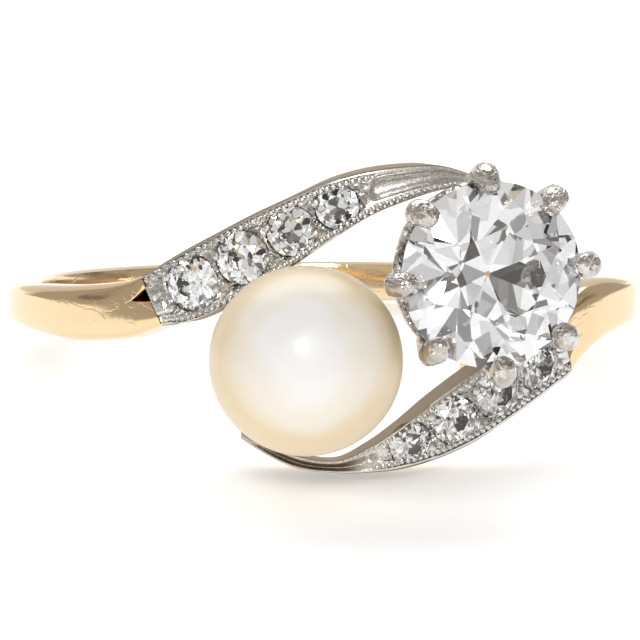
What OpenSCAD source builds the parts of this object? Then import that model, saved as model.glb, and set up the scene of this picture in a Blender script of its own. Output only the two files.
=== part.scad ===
// Toi et moi ring: a pearl and an old-cut diamond between two crossing shoulders.
// In the ring's own frame the finger axis is Z, the head faces -Y and +X is to its right.
// Angles run round the finger axis from the middle of the head toward +X.
// Each shoulder is described in its own frame, which for the lower one is turned half round Y.

/* [Finger hole] */
// Radius of the finger hole
bore_r = 8.7; // [7.8:0.1:10.2]

/* [Band] */
// Width of the band at its sides
band_w = 1.25; // [1.1:0.05:1.5]
// Thickness of the band at its sides
band_t = 1.1; // [0.95:0.05:1.3]
// Thickness of the band at the back
back_t = 1; // [0.9:0.05:1.2]
// Ease of the band's two edges against the finger
edge_ease = 0.1; // [0.04:0.02:0.16]

/* [Shoulders] */
// Height of the shoulders' highest middle above the middle of the band
crest_h = 4.3; // [4:0.1:4.8]
// Greatest width of a shoulder
shoulder_w = 2.3; // [2.2:0.05:2.6]
// Thickness of a shoulder where the two cross
crest_t = 2; // [1.85:0.05:2.3]
// Width of a shoulder's tip
tip_w = 0.36; // [0.3:0.02:0.5]
// Thickness of the gold under the platinum
liner_t = 0.65; // [0.5:0.05:0.7]
// Distance of that gold inside the platinum's inner edge
liner_inset = 0.22; // [0.1:0.02:0.3]
// Angle at which the platinum starts
plate_start = -38; // [-41:0.5:-37]
// Width of the rail along each edge of a shoulder
rail_w = 0.24; // [0.18:0.02:0.28]
// Depth of the cut field between the rails
field_depth = 0.16; // [0.1:0.02:0.2]

/* [Small stones] */
// Diameter of the largest small stone
small_d = 1.6; // [1.4:0.05:1.65]
// Diameter of the smallest small stone
small_last_d = 1.28; // [1.14:0.02:1.36]
// Metal between two neighbouring small stones
small_gap = 0.18; // [0.12:0.02:0.24]
// Angle of the first stone on the upper shoulder
upper_first = -29.9; // [-31:0.1:-29]
// Angle of the first stone on the lower shoulder
lower_first = -31.3; // [-32:0.1:-30]
// Depth of a small stone's girdle below the rails
small_sink = 0.12; // [0.06:0.02:0.16]
// Radius of the grains that hold the small stones
grain_r = 0.17; // [0.12:0.01:0.19]

/* [Main stone] */
// Diameter of the old-cut stone
main_d = 5.44; // [5:0.05:5.8]
// Height of its girdle above the finger hole
main_stand = 4.5; // [4.2:0.1:5]
// Distance of its middle to the right of the head's middle
main_side = 3.13; // [2.9:0.05:3.4]
// Height of its middle above the middle of the band
main_rise = 1.62; // [1.4:0.05:1.8]
// Angle by which it leans to the right
main_splay = 8; // [5:1:11]
// Number of claws
claw_count = 8; // [8:1:8]
// Radius of a claw's rounded tip
claw_r = 0.36; // [0.32:0.01:0.38]
// Turn of the claws about the stone's axis
claw_turn = 5; // [0:1:10]
// Outer radius of the coronet at its foot
coronet_foot_r = 1.6; // [1.4:0.05:1.8]
// Wall thickness of the coronet
coronet_wall = 0.3; // [0.24:0.02:0.36]

/* [Pearl] */
// Height of the pearl
pearl_d = 5.55; // [5.2:0.05:5.8]
// Length of the pearl along the band
pearl_l = 5.65; // [5.4:0.05:6]
// Height of the pearl's underside above the finger hole
pearl_stand = 1.1; // [1:0.05:1.4]
// Distance of its middle to the left of the head's middle
pearl_side = 2.2; // [2:0.05:2.4]
// Depth of its middle below the middle of the band
pearl_drop = 0.87; // [0.7:0.05:1.05]
// Radius of the cup under the pearl
cup_r = 1.9; // [1.8:0.05:2.2]
// Radius of the peg in the pearl
peg_r = 0.35; // [0.3:0.05:0.45]
// Length of the peg inside the pearl
peg_l = 2.2; // [1.8:0.1:2.8]

/* [Bridges] */
// Width of the gold bridge under each of the two heads
bridge_w = 1.5; // [1.3:0.1:1.6]
// Angle of the bridge under the main stone
main_bridge = 24; // [23:0.5:24]
// Angle of the bridge under the pearl
pearl_bridge = 20.8; // [20:0.5:23.5]
// Thickness of the bridges
bridge_t = 0.55; // [0.45:0.05:0.6]

/* [Hidden] */

// Number of small stones on each shoulder
small_count = 4;
// Clearance between pieces that are joined or set
gap = 0.03;
// Extra length of a cut past the solid that it cuts
past = 0.3;
// Angle at which the shoulders leave the plain band
side_angle = -90;
// Squareness of the plain band's outer corners
band_square = 0.6;
// Angle between two sections of a loft
loft_step = 4;
// Angle in which the gold steps down under the platinum
step_run = 0.3;

// Angle at which the platinum of the tails ends
plate_end = 21;

// Sections of a shoulder, from the side of the band to the end of the tail.
// Columns: angle, height of the middle as a share of crest_h, width as a share of shoulder_w,
// thickness as a share of crest_t, depth of the cut field as a share of field_depth,
// squareness of the gold's outer corners from 0, a half round, to 1, a plain block.
upper_rows = [
    [side_angle, 0, band_w / shoulder_w, band_t / crest_t, 0, band_square],
    [-72, 0.01, 0.64, 0.575, 0, 0.6],
    [-58, 0.01, 0.74, 0.60, 0, 0.6],
    [-44, 0.065, 0.76, 0.675, 0, 0.6],
    [plate_start, 0.14, 0.76, 0.735, 0, 0.6],
    [-35, 0.193, 0.82, 0.765, 0.6, 0.75],
    [-30, 0.266, 0.96, 0.80, 1, 0.8],
    [-25, 0.361, 1, 0.83, 1, 0.8],
    [-19, 0.501, 0.96, 0.87, 1, 0.8],
    [-12, 0.655, 0.89, 0.92, 1, 0.8],
    [-6, 0.795, 0.76, 0.97, 1, 0.8],
    [0, 0.905, 0.58, 0.99, 1.6, 0.8],
    [6, 0.97, 0.44, 1, 1.8, 0.8],
    [11, 1, 0.32, 1, 1.2, 0.8],
    [16, 0.985, tip_w / shoulder_w, 0.98, 0.3, 0.8],
    [23, 0.86, tip_w / shoulder_w, 0.9, 0, 0.8],
    [29, 0.72, tip_w / shoulder_w, 0.85, 0, 0.8]
];
lower_rows = [
    [side_angle, 0, band_w / shoulder_w, band_t / crest_t, 0, band_square],
    [-66, -0.03, 0.67, 0.585, 0, 0.6],
    [-55, -0.02, 0.80, 0.61, 0, 0.6],
    [-48, 0.025, 0.90, 0.65, 0, 0.6],
    [-43, 0.085, 0.94, 0.68, 0, 0.6],
    [plate_start, 0.19, 0.92, 0.735, 0, 0.6],
    [-35, 0.247, 0.87, 0.765, 0.6, 0.75],
    [-30, 0.341, 0.89, 0.80, 1, 0.8],
    [-24.5, 0.45, 0.90, 0.83, 1, 0.8],
    [-18, 0.583, 0.905, 0.88, 1, 0.8],
    [-11, 0.725, 0.775, 0.93, 1, 0.8],
    [-5, 0.845, 0.55, 0.98, 1, 0.8],
    [0, 0.92, 0.34, 1, 1.6, 0.8],
    [5.5, 0.97, tip_w / shoulder_w, 1, 1, 0.8],
    [12.5, 0.93, tip_w / shoulder_w, 0.98, 0.3, 0.8],
    [20, 0.77, tip_w / shoulder_w, 0.92, 0.2, 0.8],
    [24, 0.64, tip_w / shoulder_w, 0.88, 0, 0.8],
    [29, 0.52, tip_w / shoulder_w, 0.85, 0, 0.8]
];
// Row of a table that comes just before an angle
function row_before(rows, angle, i = 0) =
    i >= len(rows) - 2 || rows[i + 1][0] >= angle ? i : row_before(rows, angle, i + 1);

// Slope of a column at a row, per degree
function slope_at(rows, column, i) =
    let (a = max(i - 1, 0), b = min(i + 1, len(rows) - 1))
    (rows[b][column] - rows[a][column]) / (rows[b][0] - rows[a][0]);

// Value of a column at any angle, on a smooth curve through the rows
function smooth(rows, column, angle) =
    let (
        i = row_before(rows, angle),
        run = rows[i + 1][0] - rows[i][0],
        t = (angle - rows[i][0]) / run,
        rise = rows[i + 1][column] - rows[i][column],
        start = slope_at(rows, column, i) * run,
        end = slope_at(rows, column, i + 1) * run
    )
    rows[i][column] + start * t + (3 * rise - 2 * start - end) * t * t
        + (start + end - 2 * rise) * t * t * t;

function middle(rows, angle) = crest_h * smooth(rows, 1, angle);
function width(rows, angle) = shoulder_w * smooth(rows, 2, angle);
function top_r(rows, angle) = bore_r + crest_t * smooth(rows, 3, angle);
function field(rows, angle) = field_depth * smooth(rows, 4, angle);
function squareness(rows, angle) = smooth(rows, 5, angle);

// Point at an angle, a radius and a height
function on_ring(angle, radius, height) = [radius * sin(angle), -radius * cos(angle), height];

// Even steps round the outside of an outline
outline_steps = 12;

// Outer side of bare gold, rounded to a squareness
function round_side(half, thick, square) =
    let (power = 1 - 0.85 * square)
    [for (k = [0:outline_steps])
        let (a = 180 * (1 - k / outline_steps))
        [thick * (0.25 + 0.75 * pow(sin(a), power)), half * sign(cos(a)) * pow(abs(cos(a)), power)]];

// Outer side of the gold under the platinum, which is flat
function flat_side(half) = concat(
    [[liner_t / 2, -half]],
    [for (k = [0:outline_steps - 2]) [liner_t, half * (2 * k / (outline_steps - 2) - 1)]],
    [[liner_t / 2, half]]
);

// Half width below which a shoulder's tip stands a little off the finger, and that distance
tip_half = 0.3;
tip_clear = 0.04;

// Outline of the gold, from the finger hole's lower edge over the outside to its upper edge
function gold_outline(mid, wide, side) =
    let (
        half = wide / 2,
        ease = min(edge_ease, half / 3),
        inner = bore_r + (half < tip_half ? tip_clear : -past)
    )
    concat(
        [[inner, mid - half + 2 * ease]],
        [[bore_r + ease, mid - half]],
        [for (p = side) [bore_r + p[0], mid + p[1]]],
        [[bore_r + ease, mid + half]],
        [[inner, mid + half - 2 * ease]]
    );

// Places an outline of radii and heights at an angle
function section(outline, angle) = [for (p = outline) on_ring(angle, p[0], p[1])];

// Angles between two ends, evenly spaced and at most one loft step apart
function spread(start, end) =
    let (count = ceil((end - start) / loft_step))
    [for (k = [0:count]) start + k * (end - start) / count];

// Angles of a shoulder's gold sections, with the step under the platinum
function arm_angles(end) = concat(spread(side_angle, plate_start), spread(plate_start + step_run, end));

// Outline of a shoulder's gold at one of those angles. Under the platinum it is narrower
// than the platinum on the side of the heads. The lower shoulder is turned half round.
function arm_outline(rows, angle, lower) =
    let (
        full = width(rows, angle),
        covered = angle > plate_start,
        wide = full - (covered ? min(liner_inset, full / 4) : 0),
        mid = middle(rows, angle) + (full - wide) / 2,
        bare = round_side(wide / 2, top_r(rows, angle) - bore_r, squareness(rows, angle))
    )
    gold_outline(lower ? -mid : mid, wide, covered ? flat_side(wide / 2) : bare);

// Thickness of the band behind its sides
function back_thick(angle) = band_t + (back_t - band_t) * pow(sin(angle - 90), 2);

// Angle at which the finger hole's round wall starts and ends
wall_start = 2.3;
// Angle on each side of a bridge's middle
bridge_half = bridge_w / bore_r * 90 / PI;
// Share of that angle at which a tail's gold ends inside its bridge
tail_share = 0.7;
upper_angles = arm_angles(main_bridge + bridge_half * tail_share);
lower_angles = arm_angles(pearl_bridge + bridge_half * tail_share);

// Sections of the whole gold strip, from the lower shoulder's tail round the back to the upper tail
shank_sections = concat(
    [for (i = [len(lower_angles) - 1:-1:0])
        section(arm_outline(lower_rows, lower_angles[i], true), -lower_angles[i])],
    [for (a = [-side_angle + 5:5:269])
        section(gold_outline(0, band_w, round_side(band_w / 2, back_thick(a), band_square)), a)],
    [for (a = upper_angles) section(arm_outline(upper_rows, a, false), a)]
);

function average(points) = [for (c = [0:2]) [for (p = points) p[c]] * [for (p = points) 1]] / len(points);

// Closed solid through equal outlines, one after the other, with a fan of triangles at each end
module loft(sections) {
    n = len(sections[0]);
    last = len(sections) - 1;
    points = concat(
        [for (outline = sections) each outline],
        [average(sections[0]), average(sections[last])]
    );
    sides = [for (i = [0:last - 1], j = [0:n - 1])
        let (a = i * n + j, b = i * n + (j + 1) % n)
        each [[a, b, b + n], [a, b + n, a + n]]];
    fans = [for (j = [0:n - 1])
        let (next = (j + 1) % n)
        each [[next, j, n * (last + 1)], [last * n + j, last * n + next, n * (last + 1) + 1]]];
    polyhedron(points, concat(sides, fans), convexity = 8);
}

// Outline of a shoulder's platinum at an angle, from its inner edge over the rails to its outer edge
function plate_outline(rows, angle) =
    let (
        mid = middle(rows, angle),
        half = width(rows, angle) / 2,
        top = top_r(rows, angle),
        low = bore_r + liner_t + gap,
        ease = min(edge_ease, half / 4),
        rail = min(rail_w, half * 0.45),
        slope = min(field_depth, half * 0.2),
        floor_r = top - max(0, field(rows, angle))
    )
    [
        [low, mid - half],
        [top - ease, mid - half],
        [top, mid - half + ease],
        [top, mid - half + rail],
        [floor_r, mid - half + rail + slope],
        [floor_r, mid + half - rail - slope],
        [top, mid + half - rail],
        [top, mid + half - ease],
        [top - ease, mid + half],
        [low, mid + half]
    ];

// Diameter of a small stone, counted from the band
function small_size(i) = small_d - (small_d - small_last_d) * pow(i / (small_count - 1), 2);

// Angle past a small stone at which the shoulder's climb to the next one is taken
climb_ahead = 3.5;

// Angle of a small stone: each stands one small gap past the one before, along the shoulder's middle
function small_angle(rows, first, i) =
    i == 0 ? first :
    let (
        before = small_angle(rows, first, i - 1),
        pitch = (small_size(i - 1) + small_size(i)) / 2 + small_gap,
        ahead = before + climb_ahead,
        climb = middle(rows, ahead + 0.5) - middle(rows, ahead - 0.5),
        run = top_r(rows, before) * PI / 180
    )
    before + pitch / norm([run, climb]);

// Puts its children on a shoulder at an angle and a radius, with their Z outward
module on_shoulder(rows, angle, radius) {
    rotate([0, 0, angle])
        translate([0, -radius, middle(rows, angle)])
            rotate([90, 0, 0])
                children();
}

// Turns a shoulder's own frame into the lower shoulder's place
module lower_half() {
    rotate([0, 180, 0])
        children();
}

// Ring of points at one height, turned by an angle on request
function ring_points(radius, height, count, turn = 0) =
    [for (k = [0:count - 1]) [radius * cos(k * 360 / count + turn), radius * sin(k * 360 / count + turn), height]];

// Round stone of table, stars, kites and halves above its girdle, with the same below it.
// Its girdle lies at height 0. The shares are of its diameter.
module cut_stone(d, table, crown, pavilion, culet, belt) {
    r = d / 2;
    table_r = table * r;
    star_r = (table_r + r) / 2;
    crown_h = crown * d;
    half_step = 180 / 8;
    half_turn = cos(half_step);
    star_z = belt / 2 + crown_h * (r - star_r * half_turn) / (r - table_r);
    culet_r = culet * r;
    lower_share = 0.45;
    lower_r = lower_share * r;
    pavilion_h = pavilion * d;
    lower_z = -belt / 2 - pavilion_h * (r - lower_r * half_turn) / (r - culet_r * half_turn);
    points = concat(
        ring_points(table_r, belt / 2 + crown_h, 8),
        ring_points(star_r, star_z, 8, half_step),
        ring_points(r, belt / 2, 16),
        ring_points(r, -belt / 2, 16),
        ring_points(lower_r, lower_z, 8, half_step),
        ring_points(culet_r, -belt / 2 - pavilion_h, 8, half_step)
    );
    star = 8;
    upper = 16;
    under = 32;
    low = 48;
    tip = 56;
    faces = concat(
        [[for (k = [7:-1:0]) k]],
        [for (k = [0:7]) let (n = (k + 1) % 8) [k, n, star + k]],
        [for (k = [0:7]) let (b = (k + 7) % 8) each [
            [k, star + k, upper + 2 * k],
            [k, upper + 2 * k, star + b]
        ]],
        [for (k = [0:7]) let (n = (k + 1) % 8) each [
            [star + k, upper + 2 * k + 1, upper + 2 * k],
            [star + k, upper + 2 * n, upper + 2 * k + 1]
        ]],
        [for (k = [0:15]) let (n = (k + 1) % 16) each [
            [upper + k, upper + n, under + n],
            [upper + k, under + n, under + k]
        ]],
        [for (k = [0:7]) let (n = (k + 1) % 8) each [
            [low + k, under + 2 * k, under + 2 * k + 1],
            [low + k, under + 2 * k + 1, under + 2 * n]
        ]],
        [for (k = [0:7]) let (b = (k + 7) % 8) each [
            [under + 2 * k, low + k, tip + k],
            [under + 2 * k, tip + k, tip + b],
            [under + 2 * k, tip + b, low + b]
        ]],
        [[for (k = [0:7]) tip + k]]
    );
    polyhedron(points, faces, convexity = 2);
}

// Shares of a stone's diameter: table, crown, pavilion and culet, then its girdle's thickness
main_cut = [0.5, 0.165, 0.42, 0.11, 0.08];
small_cut = [0.52, 0.15, 0.38, 0.08, 0.05];
// Depth of a small stone's seat, with some room under the stone's point
seat_room = 0.08;
seat_depth = small_cut[2] * small_d + small_sink + seat_room;

// Small stone number i of a shoulder, counted from the band
module small_stone(rows, first, i) {
    angle = small_angle(rows, first, i);
    on_shoulder(rows, angle, top_r(rows, angle) - small_sink)
        cut_stone(small_size(i), small_cut[0], small_cut[1], small_cut[2], small_cut[3], small_cut[4]);
}

// Round hole that a small stone sits in
module small_seat(rows, first, i) {
    angle = small_angle(rows, first, i);
    on_shoulder(rows, angle, top_r(rows, angle))
        translate([0, 0, -seat_depth])
            cylinder(r = small_size(i) / 2 + gap, h = seat_depth + past, $fn = 24);
}

// Grain of metal raised beside a stone, as a low dome on a short foot
module grain(size) {
    hull() {
        translate([0, 0, size * 0.35])
            sphere(r = size, $fn = 8);
        translate([0, 0, -size])
            cylinder(r = size, h = size, $fn = 8);
    }
}

// A grain on each side of the shoulder's middle, where two stones leave room
module grain_pair(rows, angle, apart) {
    climb = middle(rows, angle + 0.5) - middle(rows, angle - 0.5);
    run = top_r(rows, angle) * PI / 180;
    on_shoulder(rows, angle, top_r(rows, angle) - field_depth)
        rotate([0, 0, atan2(climb, run)])
            for (side = [-1, 1])
                translate([0, side * apart, 0])
                    grain(grain_r);
}

// Angle half way between two small stones, or as far past the first and the last of them
function grain_angle(rows, first, i) =
    let (last = small_count - 1)
    i == 0 ? small_angle(rows, first, 0) - (small_angle(rows, first, 1) - small_angle(rows, first, 0)) / 2
    : i > last ? small_angle(rows, first, last)
        + (small_angle(rows, first, last) - small_angle(rows, first, last - 1)) / 2
    : (small_angle(rows, first, i) * small_size(i - 1) + small_angle(rows, first, i - 1) * small_size(i))
        / (small_size(i) + small_size(i - 1));

// Half the distance between the two grains of a pair, clear of the stones beside them
function grain_apart(i) =
    let (
        size = small_size(min(i, small_count - 1)),
        clear = size / 2 + grain_r + gap,
        along = (size + small_gap) / 2
    )
    sqrt(max(grain_r * grain_r, clear * clear - along * along)) + gap;

// Platinum top of a shoulder with its seats and grains, in the shoulder's own frame
module plate(rows, first) {
    start = plate_start + step_run + gap / bore_r * 180 / PI;
    steps = ceil((plate_end - start) / loft_step * 1.6);
    difference() {
        union() {
            difference() {
                loft([for (k = [0:steps])
                    let (a = start + k * (plate_end - start) / steps)
                    section(plate_outline(rows, a), a)]);
                for (i = [0:small_count - 1])
                    small_seat(rows, first, i);
            }
            for (i = [0:small_count])
                grain_pair(rows, grain_angle(rows, first, i), grain_apart(i));
        }
        for (i = [0:small_count - 1])
            small_seat(rows, first, i);
    }
}

// Puts its children on the main stone's axis, with its girdle at height 0 and Z outward
module at_main() {
    translate([main_side, -(bore_r + main_stand), main_rise])
        rotate([0, 0, main_splay])
            rotate([90, 0, 0])
                children();
}

// Puts its children at the pearl's middle, with Z outward
module at_pearl() {
    translate([-pearl_side, -(bore_r + pearl_stand + pearl_d / 2), -pearl_drop])
        rotate([90, 0, 0])
            children();
}

// Everything nearer to the finger than the cup and the coronet may come
module finger_side() {
    cylinder(r = bore_r + liner_t + gap, h = 4 * crest_h, center = true, $fn = 96);
}

// Height of the coronet below the main stone's girdle, and how far its foot is cut away
foot_cut = 0.2;
coronet_h = main_stand - liner_t + foot_cut;
// Upper edge of the coronet's wall: its radius and its height from the girdle
coronet_top_r = main_d / 2 + 0.2;
coronet_top_z = -0.3;
// Height at which the coronet's wall starts to widen, as a share of its own
flare_share = 0.62;
// Middle of a claw's tip: its distance from the stone's axis and its height above the girdle
claw_out = main_d / 2 + claw_r * 0.25;
claw_up = claw_r + 0.14;

// Wall of the coronet: a cone whose upper edge dips between the claws
module coronet_cone() {
    lean = (coronet_top_r - coronet_foot_r) / (coronet_h + coronet_top_z);
    difference() {
        rotate_extrude($fn = 72)
            polygon([
                [coronet_foot_r, -coronet_h],
                [coronet_foot_r + lean * coronet_h * 0.5, -coronet_h * flare_share],
                [coronet_top_r, coronet_top_z],
                [coronet_top_r - coronet_wall / 2, coronet_top_z + 0.08],
                [coronet_top_r - coronet_wall, coronet_top_z - 0.12],
                [coronet_foot_r + lean * coronet_h * 0.5 - coronet_wall, -coronet_h * flare_share],
                [coronet_foot_r - coronet_wall, -coronet_h]
            ]);
        for (k = [0:claw_count - 1])
            rotate([0, 0, claw_turn + (k + 0.5) * 360 / claw_count])
                translate([coronet_foot_r, 0, coronet_top_z + 0.25])
                    scale([1, 1, 0.8])
                        rotate([0, 90, 0])
                            cylinder(r = main_d * 0.13, h = main_d, $fn = 24);
    }
}

// One claw: a post up the cone to the girdle, and a thicker tip that leans over the crown
module claw() {
    post_r = claw_r * 0.8;
    hull() {
        translate([coronet_foot_r - post_r * 0.6, 0, -coronet_h + post_r])
            sphere(r = post_r * 0.8, $fn = 11);
        translate([coronet_top_r + post_r * 0.4, 0, coronet_top_z])
            sphere(r = post_r, $fn = 11);
    }
    hull() {
        translate([coronet_top_r + post_r * 0.33, 0, coronet_top_z + post_r * 0.3])
            sphere(r = post_r * 0.92, $fn = 11);
        translate([claw_out + claw_r * 0.2, 0, claw_up * 0.7])
            sphere(r = claw_r, $fn = 11);
        translate([claw_out - claw_r * 0.5, 0, claw_up + claw_r * 0.16])
            sphere(r = claw_r * 0.72, $fn = 11);
    }
}

// The main stone's body with some room round it
module main_body(room) {
    cut_stone(main_d + 2 * room, main_cut[0], main_cut[1], main_cut[2], main_cut[3], main_cut[4] + 2 * room);
}

// Pearl, a little longer along the band than it is high
module pearl_body(room) {
    rotate([0, 90, 0])
        rotate_extrude($fn = 72)
            polygon([for (a = [-90:7.5:90])
                [(pearl_d / 2 + room) * cos(a), (pearl_l / 2 + room) * sin(a)]]);
}

// Curved bar of gold that joins the two shoulders under a head, between two heights
module bridge(angle, low, high) {
    rotate([0, 0, angle - 90 - bridge_half])
        translate([0, 0, low])
            rotate_extrude(angle = 2 * bridge_half, $fn = 180)
                translate([bore_r - past, 0])
                    square([bridge_t + past, high - low]);
}

// Height at which a bridge ends inside the tail beside it, and inside the broad shoulder across from it
function tail_end_h(rows, angle) = middle(rows, angle + bridge_half);
function broad_end_h(rows, angle) = middle(rows, angle) - width(rows, angle) * 0.2;

module shank_shape() {
    difference() {
        union() {
            loft(shank_sections);
            bridge(main_bridge, -broad_end_h(lower_rows, -main_bridge), tail_end_h(upper_rows, main_bridge));
            bridge(-pearl_bridge, -tail_end_h(lower_rows, pearl_bridge), broad_end_h(upper_rows, -pearl_bridge));
        }
        rotate([0, 0, wall_start - 90])
            cylinder(r = bore_r, h = 4 * crest_h, center = true, $fn = 180);
    }
}

// Resting pose: the ring lies on the lower shoulder's edge and the back of the band
function lower_edge(angle) = middle(lower_rows, angle) + width(lower_rows, angle) / 2;
rest_tilt = max([for (a = [-30:1:plate_end])
    atan((lower_edge(a) - band_w / 2) / ((bore_r + edge_ease) * cos(a) + bore_r + back_t * 0.75))]);
function rested_y(p) = p[1] * cos(rest_tilt) + p[2] * sin(rest_tilt);
function rested_z(p) = p[2] * cos(rest_tilt) - p[1] * sin(rest_tilt);
rest_lift = -min([for (outline = shank_sections) each [for (p = outline) rested_z(p)]]);
pearl_front = rested_y([0, -(bore_r + pearl_stand + pearl_d), -pearl_drop]);
band_back = rested_y([0, bore_r + back_t, band_w / 2]);
rest_shift = -(pearl_front + band_back) / 2;

// Lays the ring down, with the middle of its footprint at the origin
module laid() {
    translate([0, rest_shift, rest_lift])
        rotate([-rest_tilt, 0, 0])
            children();
}

module shank() {
    color("goldenrod") laid() shank_shape();
}

module upper_shoulder() {
    color("silver") laid() plate(upper_rows, upper_first);
}

module lower_shoulder() {
    color("silver") laid() lower_half() plate(lower_rows, lower_first);
}

module coronet() {
    color("lightgray") laid() difference() {
        at_main() {
            difference() {
                union() {
                    coronet_cone();
                    for (k = [0:claw_count - 1])
                        rotate([0, 0, claw_turn + k * 360 / claw_count])
                            claw();
                }
                main_body(gap);
            }
        }
        finger_side();
    }
}

module main_stone() {
    color("whitesmoke") laid() at_main() main_body(0);
}

// Depth of the cup's rim below the pearl's middle, as a share of the pearl's height
cup_rim_share = 0.36;

module pearl_cup() {
    foot = pearl_d / 2 + pearl_stand;
    rim = pearl_d * cup_rim_share;
    color("gold") laid() difference() {
        at_pearl() {
            difference() {
                translate([0, 0, -foot])
                    cylinder(r = cup_r, h = foot - rim, $fn = 64);
                pearl_body(gap);
            }
            translate([0, 0, -pearl_d / 2 - pearl_stand / 2])
                cylinder(r = peg_r, h = pearl_stand / 2 + peg_l, $fn = 32);
        }
        finger_side();
    }
}

module pearl() {
    color("linen") laid() at_pearl() difference() {
        pearl_body(0);
        translate([0, 0, -pearl_d])
            cylinder(r = peg_r + gap, h = pearl_d / 2 + peg_l + gap, $fn = 32);
    }
}

module upper_stone(i) {
    color("white") laid() small_stone(upper_rows, upper_first, i);
}

module lower_stone(i) {
    color("white") laid() lower_half() small_stone(lower_rows, lower_first, i);
}

shank();
upper_shoulder();
lower_shoulder();
coronet();
main_stone();
pearl_cup();
pearl();
upper_stone(0);  // upper_stone_1
upper_stone(1);  // upper_stone_2
upper_stone(2);  // upper_stone_3
upper_stone(3);  // upper_stone_4
lower_stone(0);  // lower_stone_1
lower_stone(1);  // lower_stone_2
lower_stone(2);  // lower_stone_3
lower_stone(3);  // lower_stone_4
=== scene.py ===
"""Toi et moi ring: a pearl and an old-cut diamond between two crossing shoulders."""

import logging
import math
from dataclasses import dataclass
from enum import Enum
from typing import ClassVar, Optional

import bmesh
import bpy
from mathutils import Matrix, Vector, noise


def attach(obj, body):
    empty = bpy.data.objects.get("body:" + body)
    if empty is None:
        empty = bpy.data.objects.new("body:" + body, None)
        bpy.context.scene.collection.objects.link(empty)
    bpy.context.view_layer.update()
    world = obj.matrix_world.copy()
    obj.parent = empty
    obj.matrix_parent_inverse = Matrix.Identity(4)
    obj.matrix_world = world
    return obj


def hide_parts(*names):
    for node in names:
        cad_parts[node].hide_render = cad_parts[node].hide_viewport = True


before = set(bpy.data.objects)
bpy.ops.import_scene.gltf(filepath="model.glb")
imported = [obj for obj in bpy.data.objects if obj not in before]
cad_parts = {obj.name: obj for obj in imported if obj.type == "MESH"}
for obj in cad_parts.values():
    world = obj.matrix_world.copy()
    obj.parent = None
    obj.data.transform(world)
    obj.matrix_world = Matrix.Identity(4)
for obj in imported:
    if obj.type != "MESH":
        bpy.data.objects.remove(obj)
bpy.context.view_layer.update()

logging.basicConfig(level=logging.INFO, format="%(message)s")
LOG = logging.getLogger("ring")

MM = 0.001
GAP = 0.03  # mm between pieces that meet
MERGE = 1e-5  # mm within which points become one

Outline = list[tuple[float, float]]
Side = tuple[Outline, list[float]]
Section = tuple[list[Vector], list[float]]
Colour = tuple[float, float, float, float]
Mesh = bmesh.types.BMesh
Tree = bpy.types.NodeTree
Socket = bpy.types.NodeSocket


# The ring's own frame


@dataclass(frozen=True)
class RestingPose:
    """How the ring is laid on the floor: tilt in degrees, shift and lift in mm.

    In the ring's own frame the finger axis is Z, the head faces -Y and angles run from
    the middle of the head toward +X.
    """

    tilt: float = 11.5896
    shift: float = 2.79201
    lift: float = 2.51784

    def matrix(self) -> Matrix:
        """Returns the matrix from the ring's own mm to the scene's metres."""
        tipped = Matrix.Rotation(-math.radians(self.tilt), 4, "X")
        return Matrix.Scale(MM, 4) @ (Matrix.Translation((0, self.shift, self.lift)) @ tipped)


REST = RestingPose()


def on_ring(angle: float, radius: float, height: float) -> Vector:
    """Gives the point at an angle in degrees, a radius and a height in mm."""
    turn = math.radians(angle)
    return Vector((radius * math.sin(turn), -radius * math.cos(turn), height))


def ring_axes(angle: float, slope: float = 0.0) -> Matrix:
    """Gives axes on the ring's outside: X along the shoulder, Y across it, Z outward.

    Args:
        angle: place round the finger axis, in degrees.
        slope: rise of the shoulder along itself, in radians.

    Returns:
        A rotation matrix in the ring's own frame.
    """
    turn = math.radians(angle)
    out = Vector((math.sin(turn), -math.cos(turn), 0))
    along = Vector((math.cos(turn), math.sin(turn), 0))
    up = Vector((0, 0, 1))
    run = along * math.cos(slope) + up * math.sin(slope)
    across = out.cross(run)
    return Matrix((run, across, out)).transposed().to_4x4()


# Mesh helpers


def loft(bm: Mesh, sections: list[list[Vector]], masks: Optional[list[list[float]]] = None) -> None:
    """Bends a grid into a closed solid through a row of outlines.

    Args:
        bm: mesh that the sweep is added to.
        sections: outlines with equal numbers of points.
        masks: a value for each point, kept in the vertex layer named cut.
    """
    count = len(sections[0])
    made = bmesh.ops.create_grid(bm, x_segments=count, y_segments=len(sections) - 1, size=1)["verts"]
    layer = bm.verts.layers.float.get("cut")
    for row, outline in enumerate(sections):
        for k in range(count + 1):
            vert = made[row * (count + 1) + k]
            vert.co = outline[k % count]
            if masks:
                vert[layer] = masks[row][k % count]
    seam = [made[row * (count + 1) + k] for row in range(len(sections)) for k in (0, count)]
    ends = {v for v in made[1:count]} | {v for v in made[-count:-1]}
    bmesh.ops.remove_doubles(bm, verts=seam, dist=1e-7)
    rims = {e for v in ends for e in v.link_edges if e.is_boundary}
    bmesh.ops.holes_fill(bm, edges=list(rims), sides=0)


def add_ball(bm: Mesh, place: Matrix, radius: float, fine: int = 8, flat: float = 1.0) -> None:
    """Adds a ball, or a flattened one, at a place.

    Args:
        bm: mesh that the ball is added to.
        place: rotation and position.
        radius: radius across.
        fine: segments round it.
        flat: height as a share of the radius.
    """
    shape = place @ Matrix.Diagonal((radius, radius, radius * flat, 1))
    bmesh.ops.create_uvsphere(bm, u_segments=fine, v_segments=max(4, fine // 2 + 1), radius=1, matrix=shape)


def join_in(bm: Mesh, trim: Mesh) -> None:
    """Adds a small mesh to a large one, and frees the small one."""
    held = bpy.data.meshes.new("trim")
    trim.to_mesh(held)
    trim.free()
    bm.from_mesh(held)
    bpy.data.meshes.remove(held)


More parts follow.
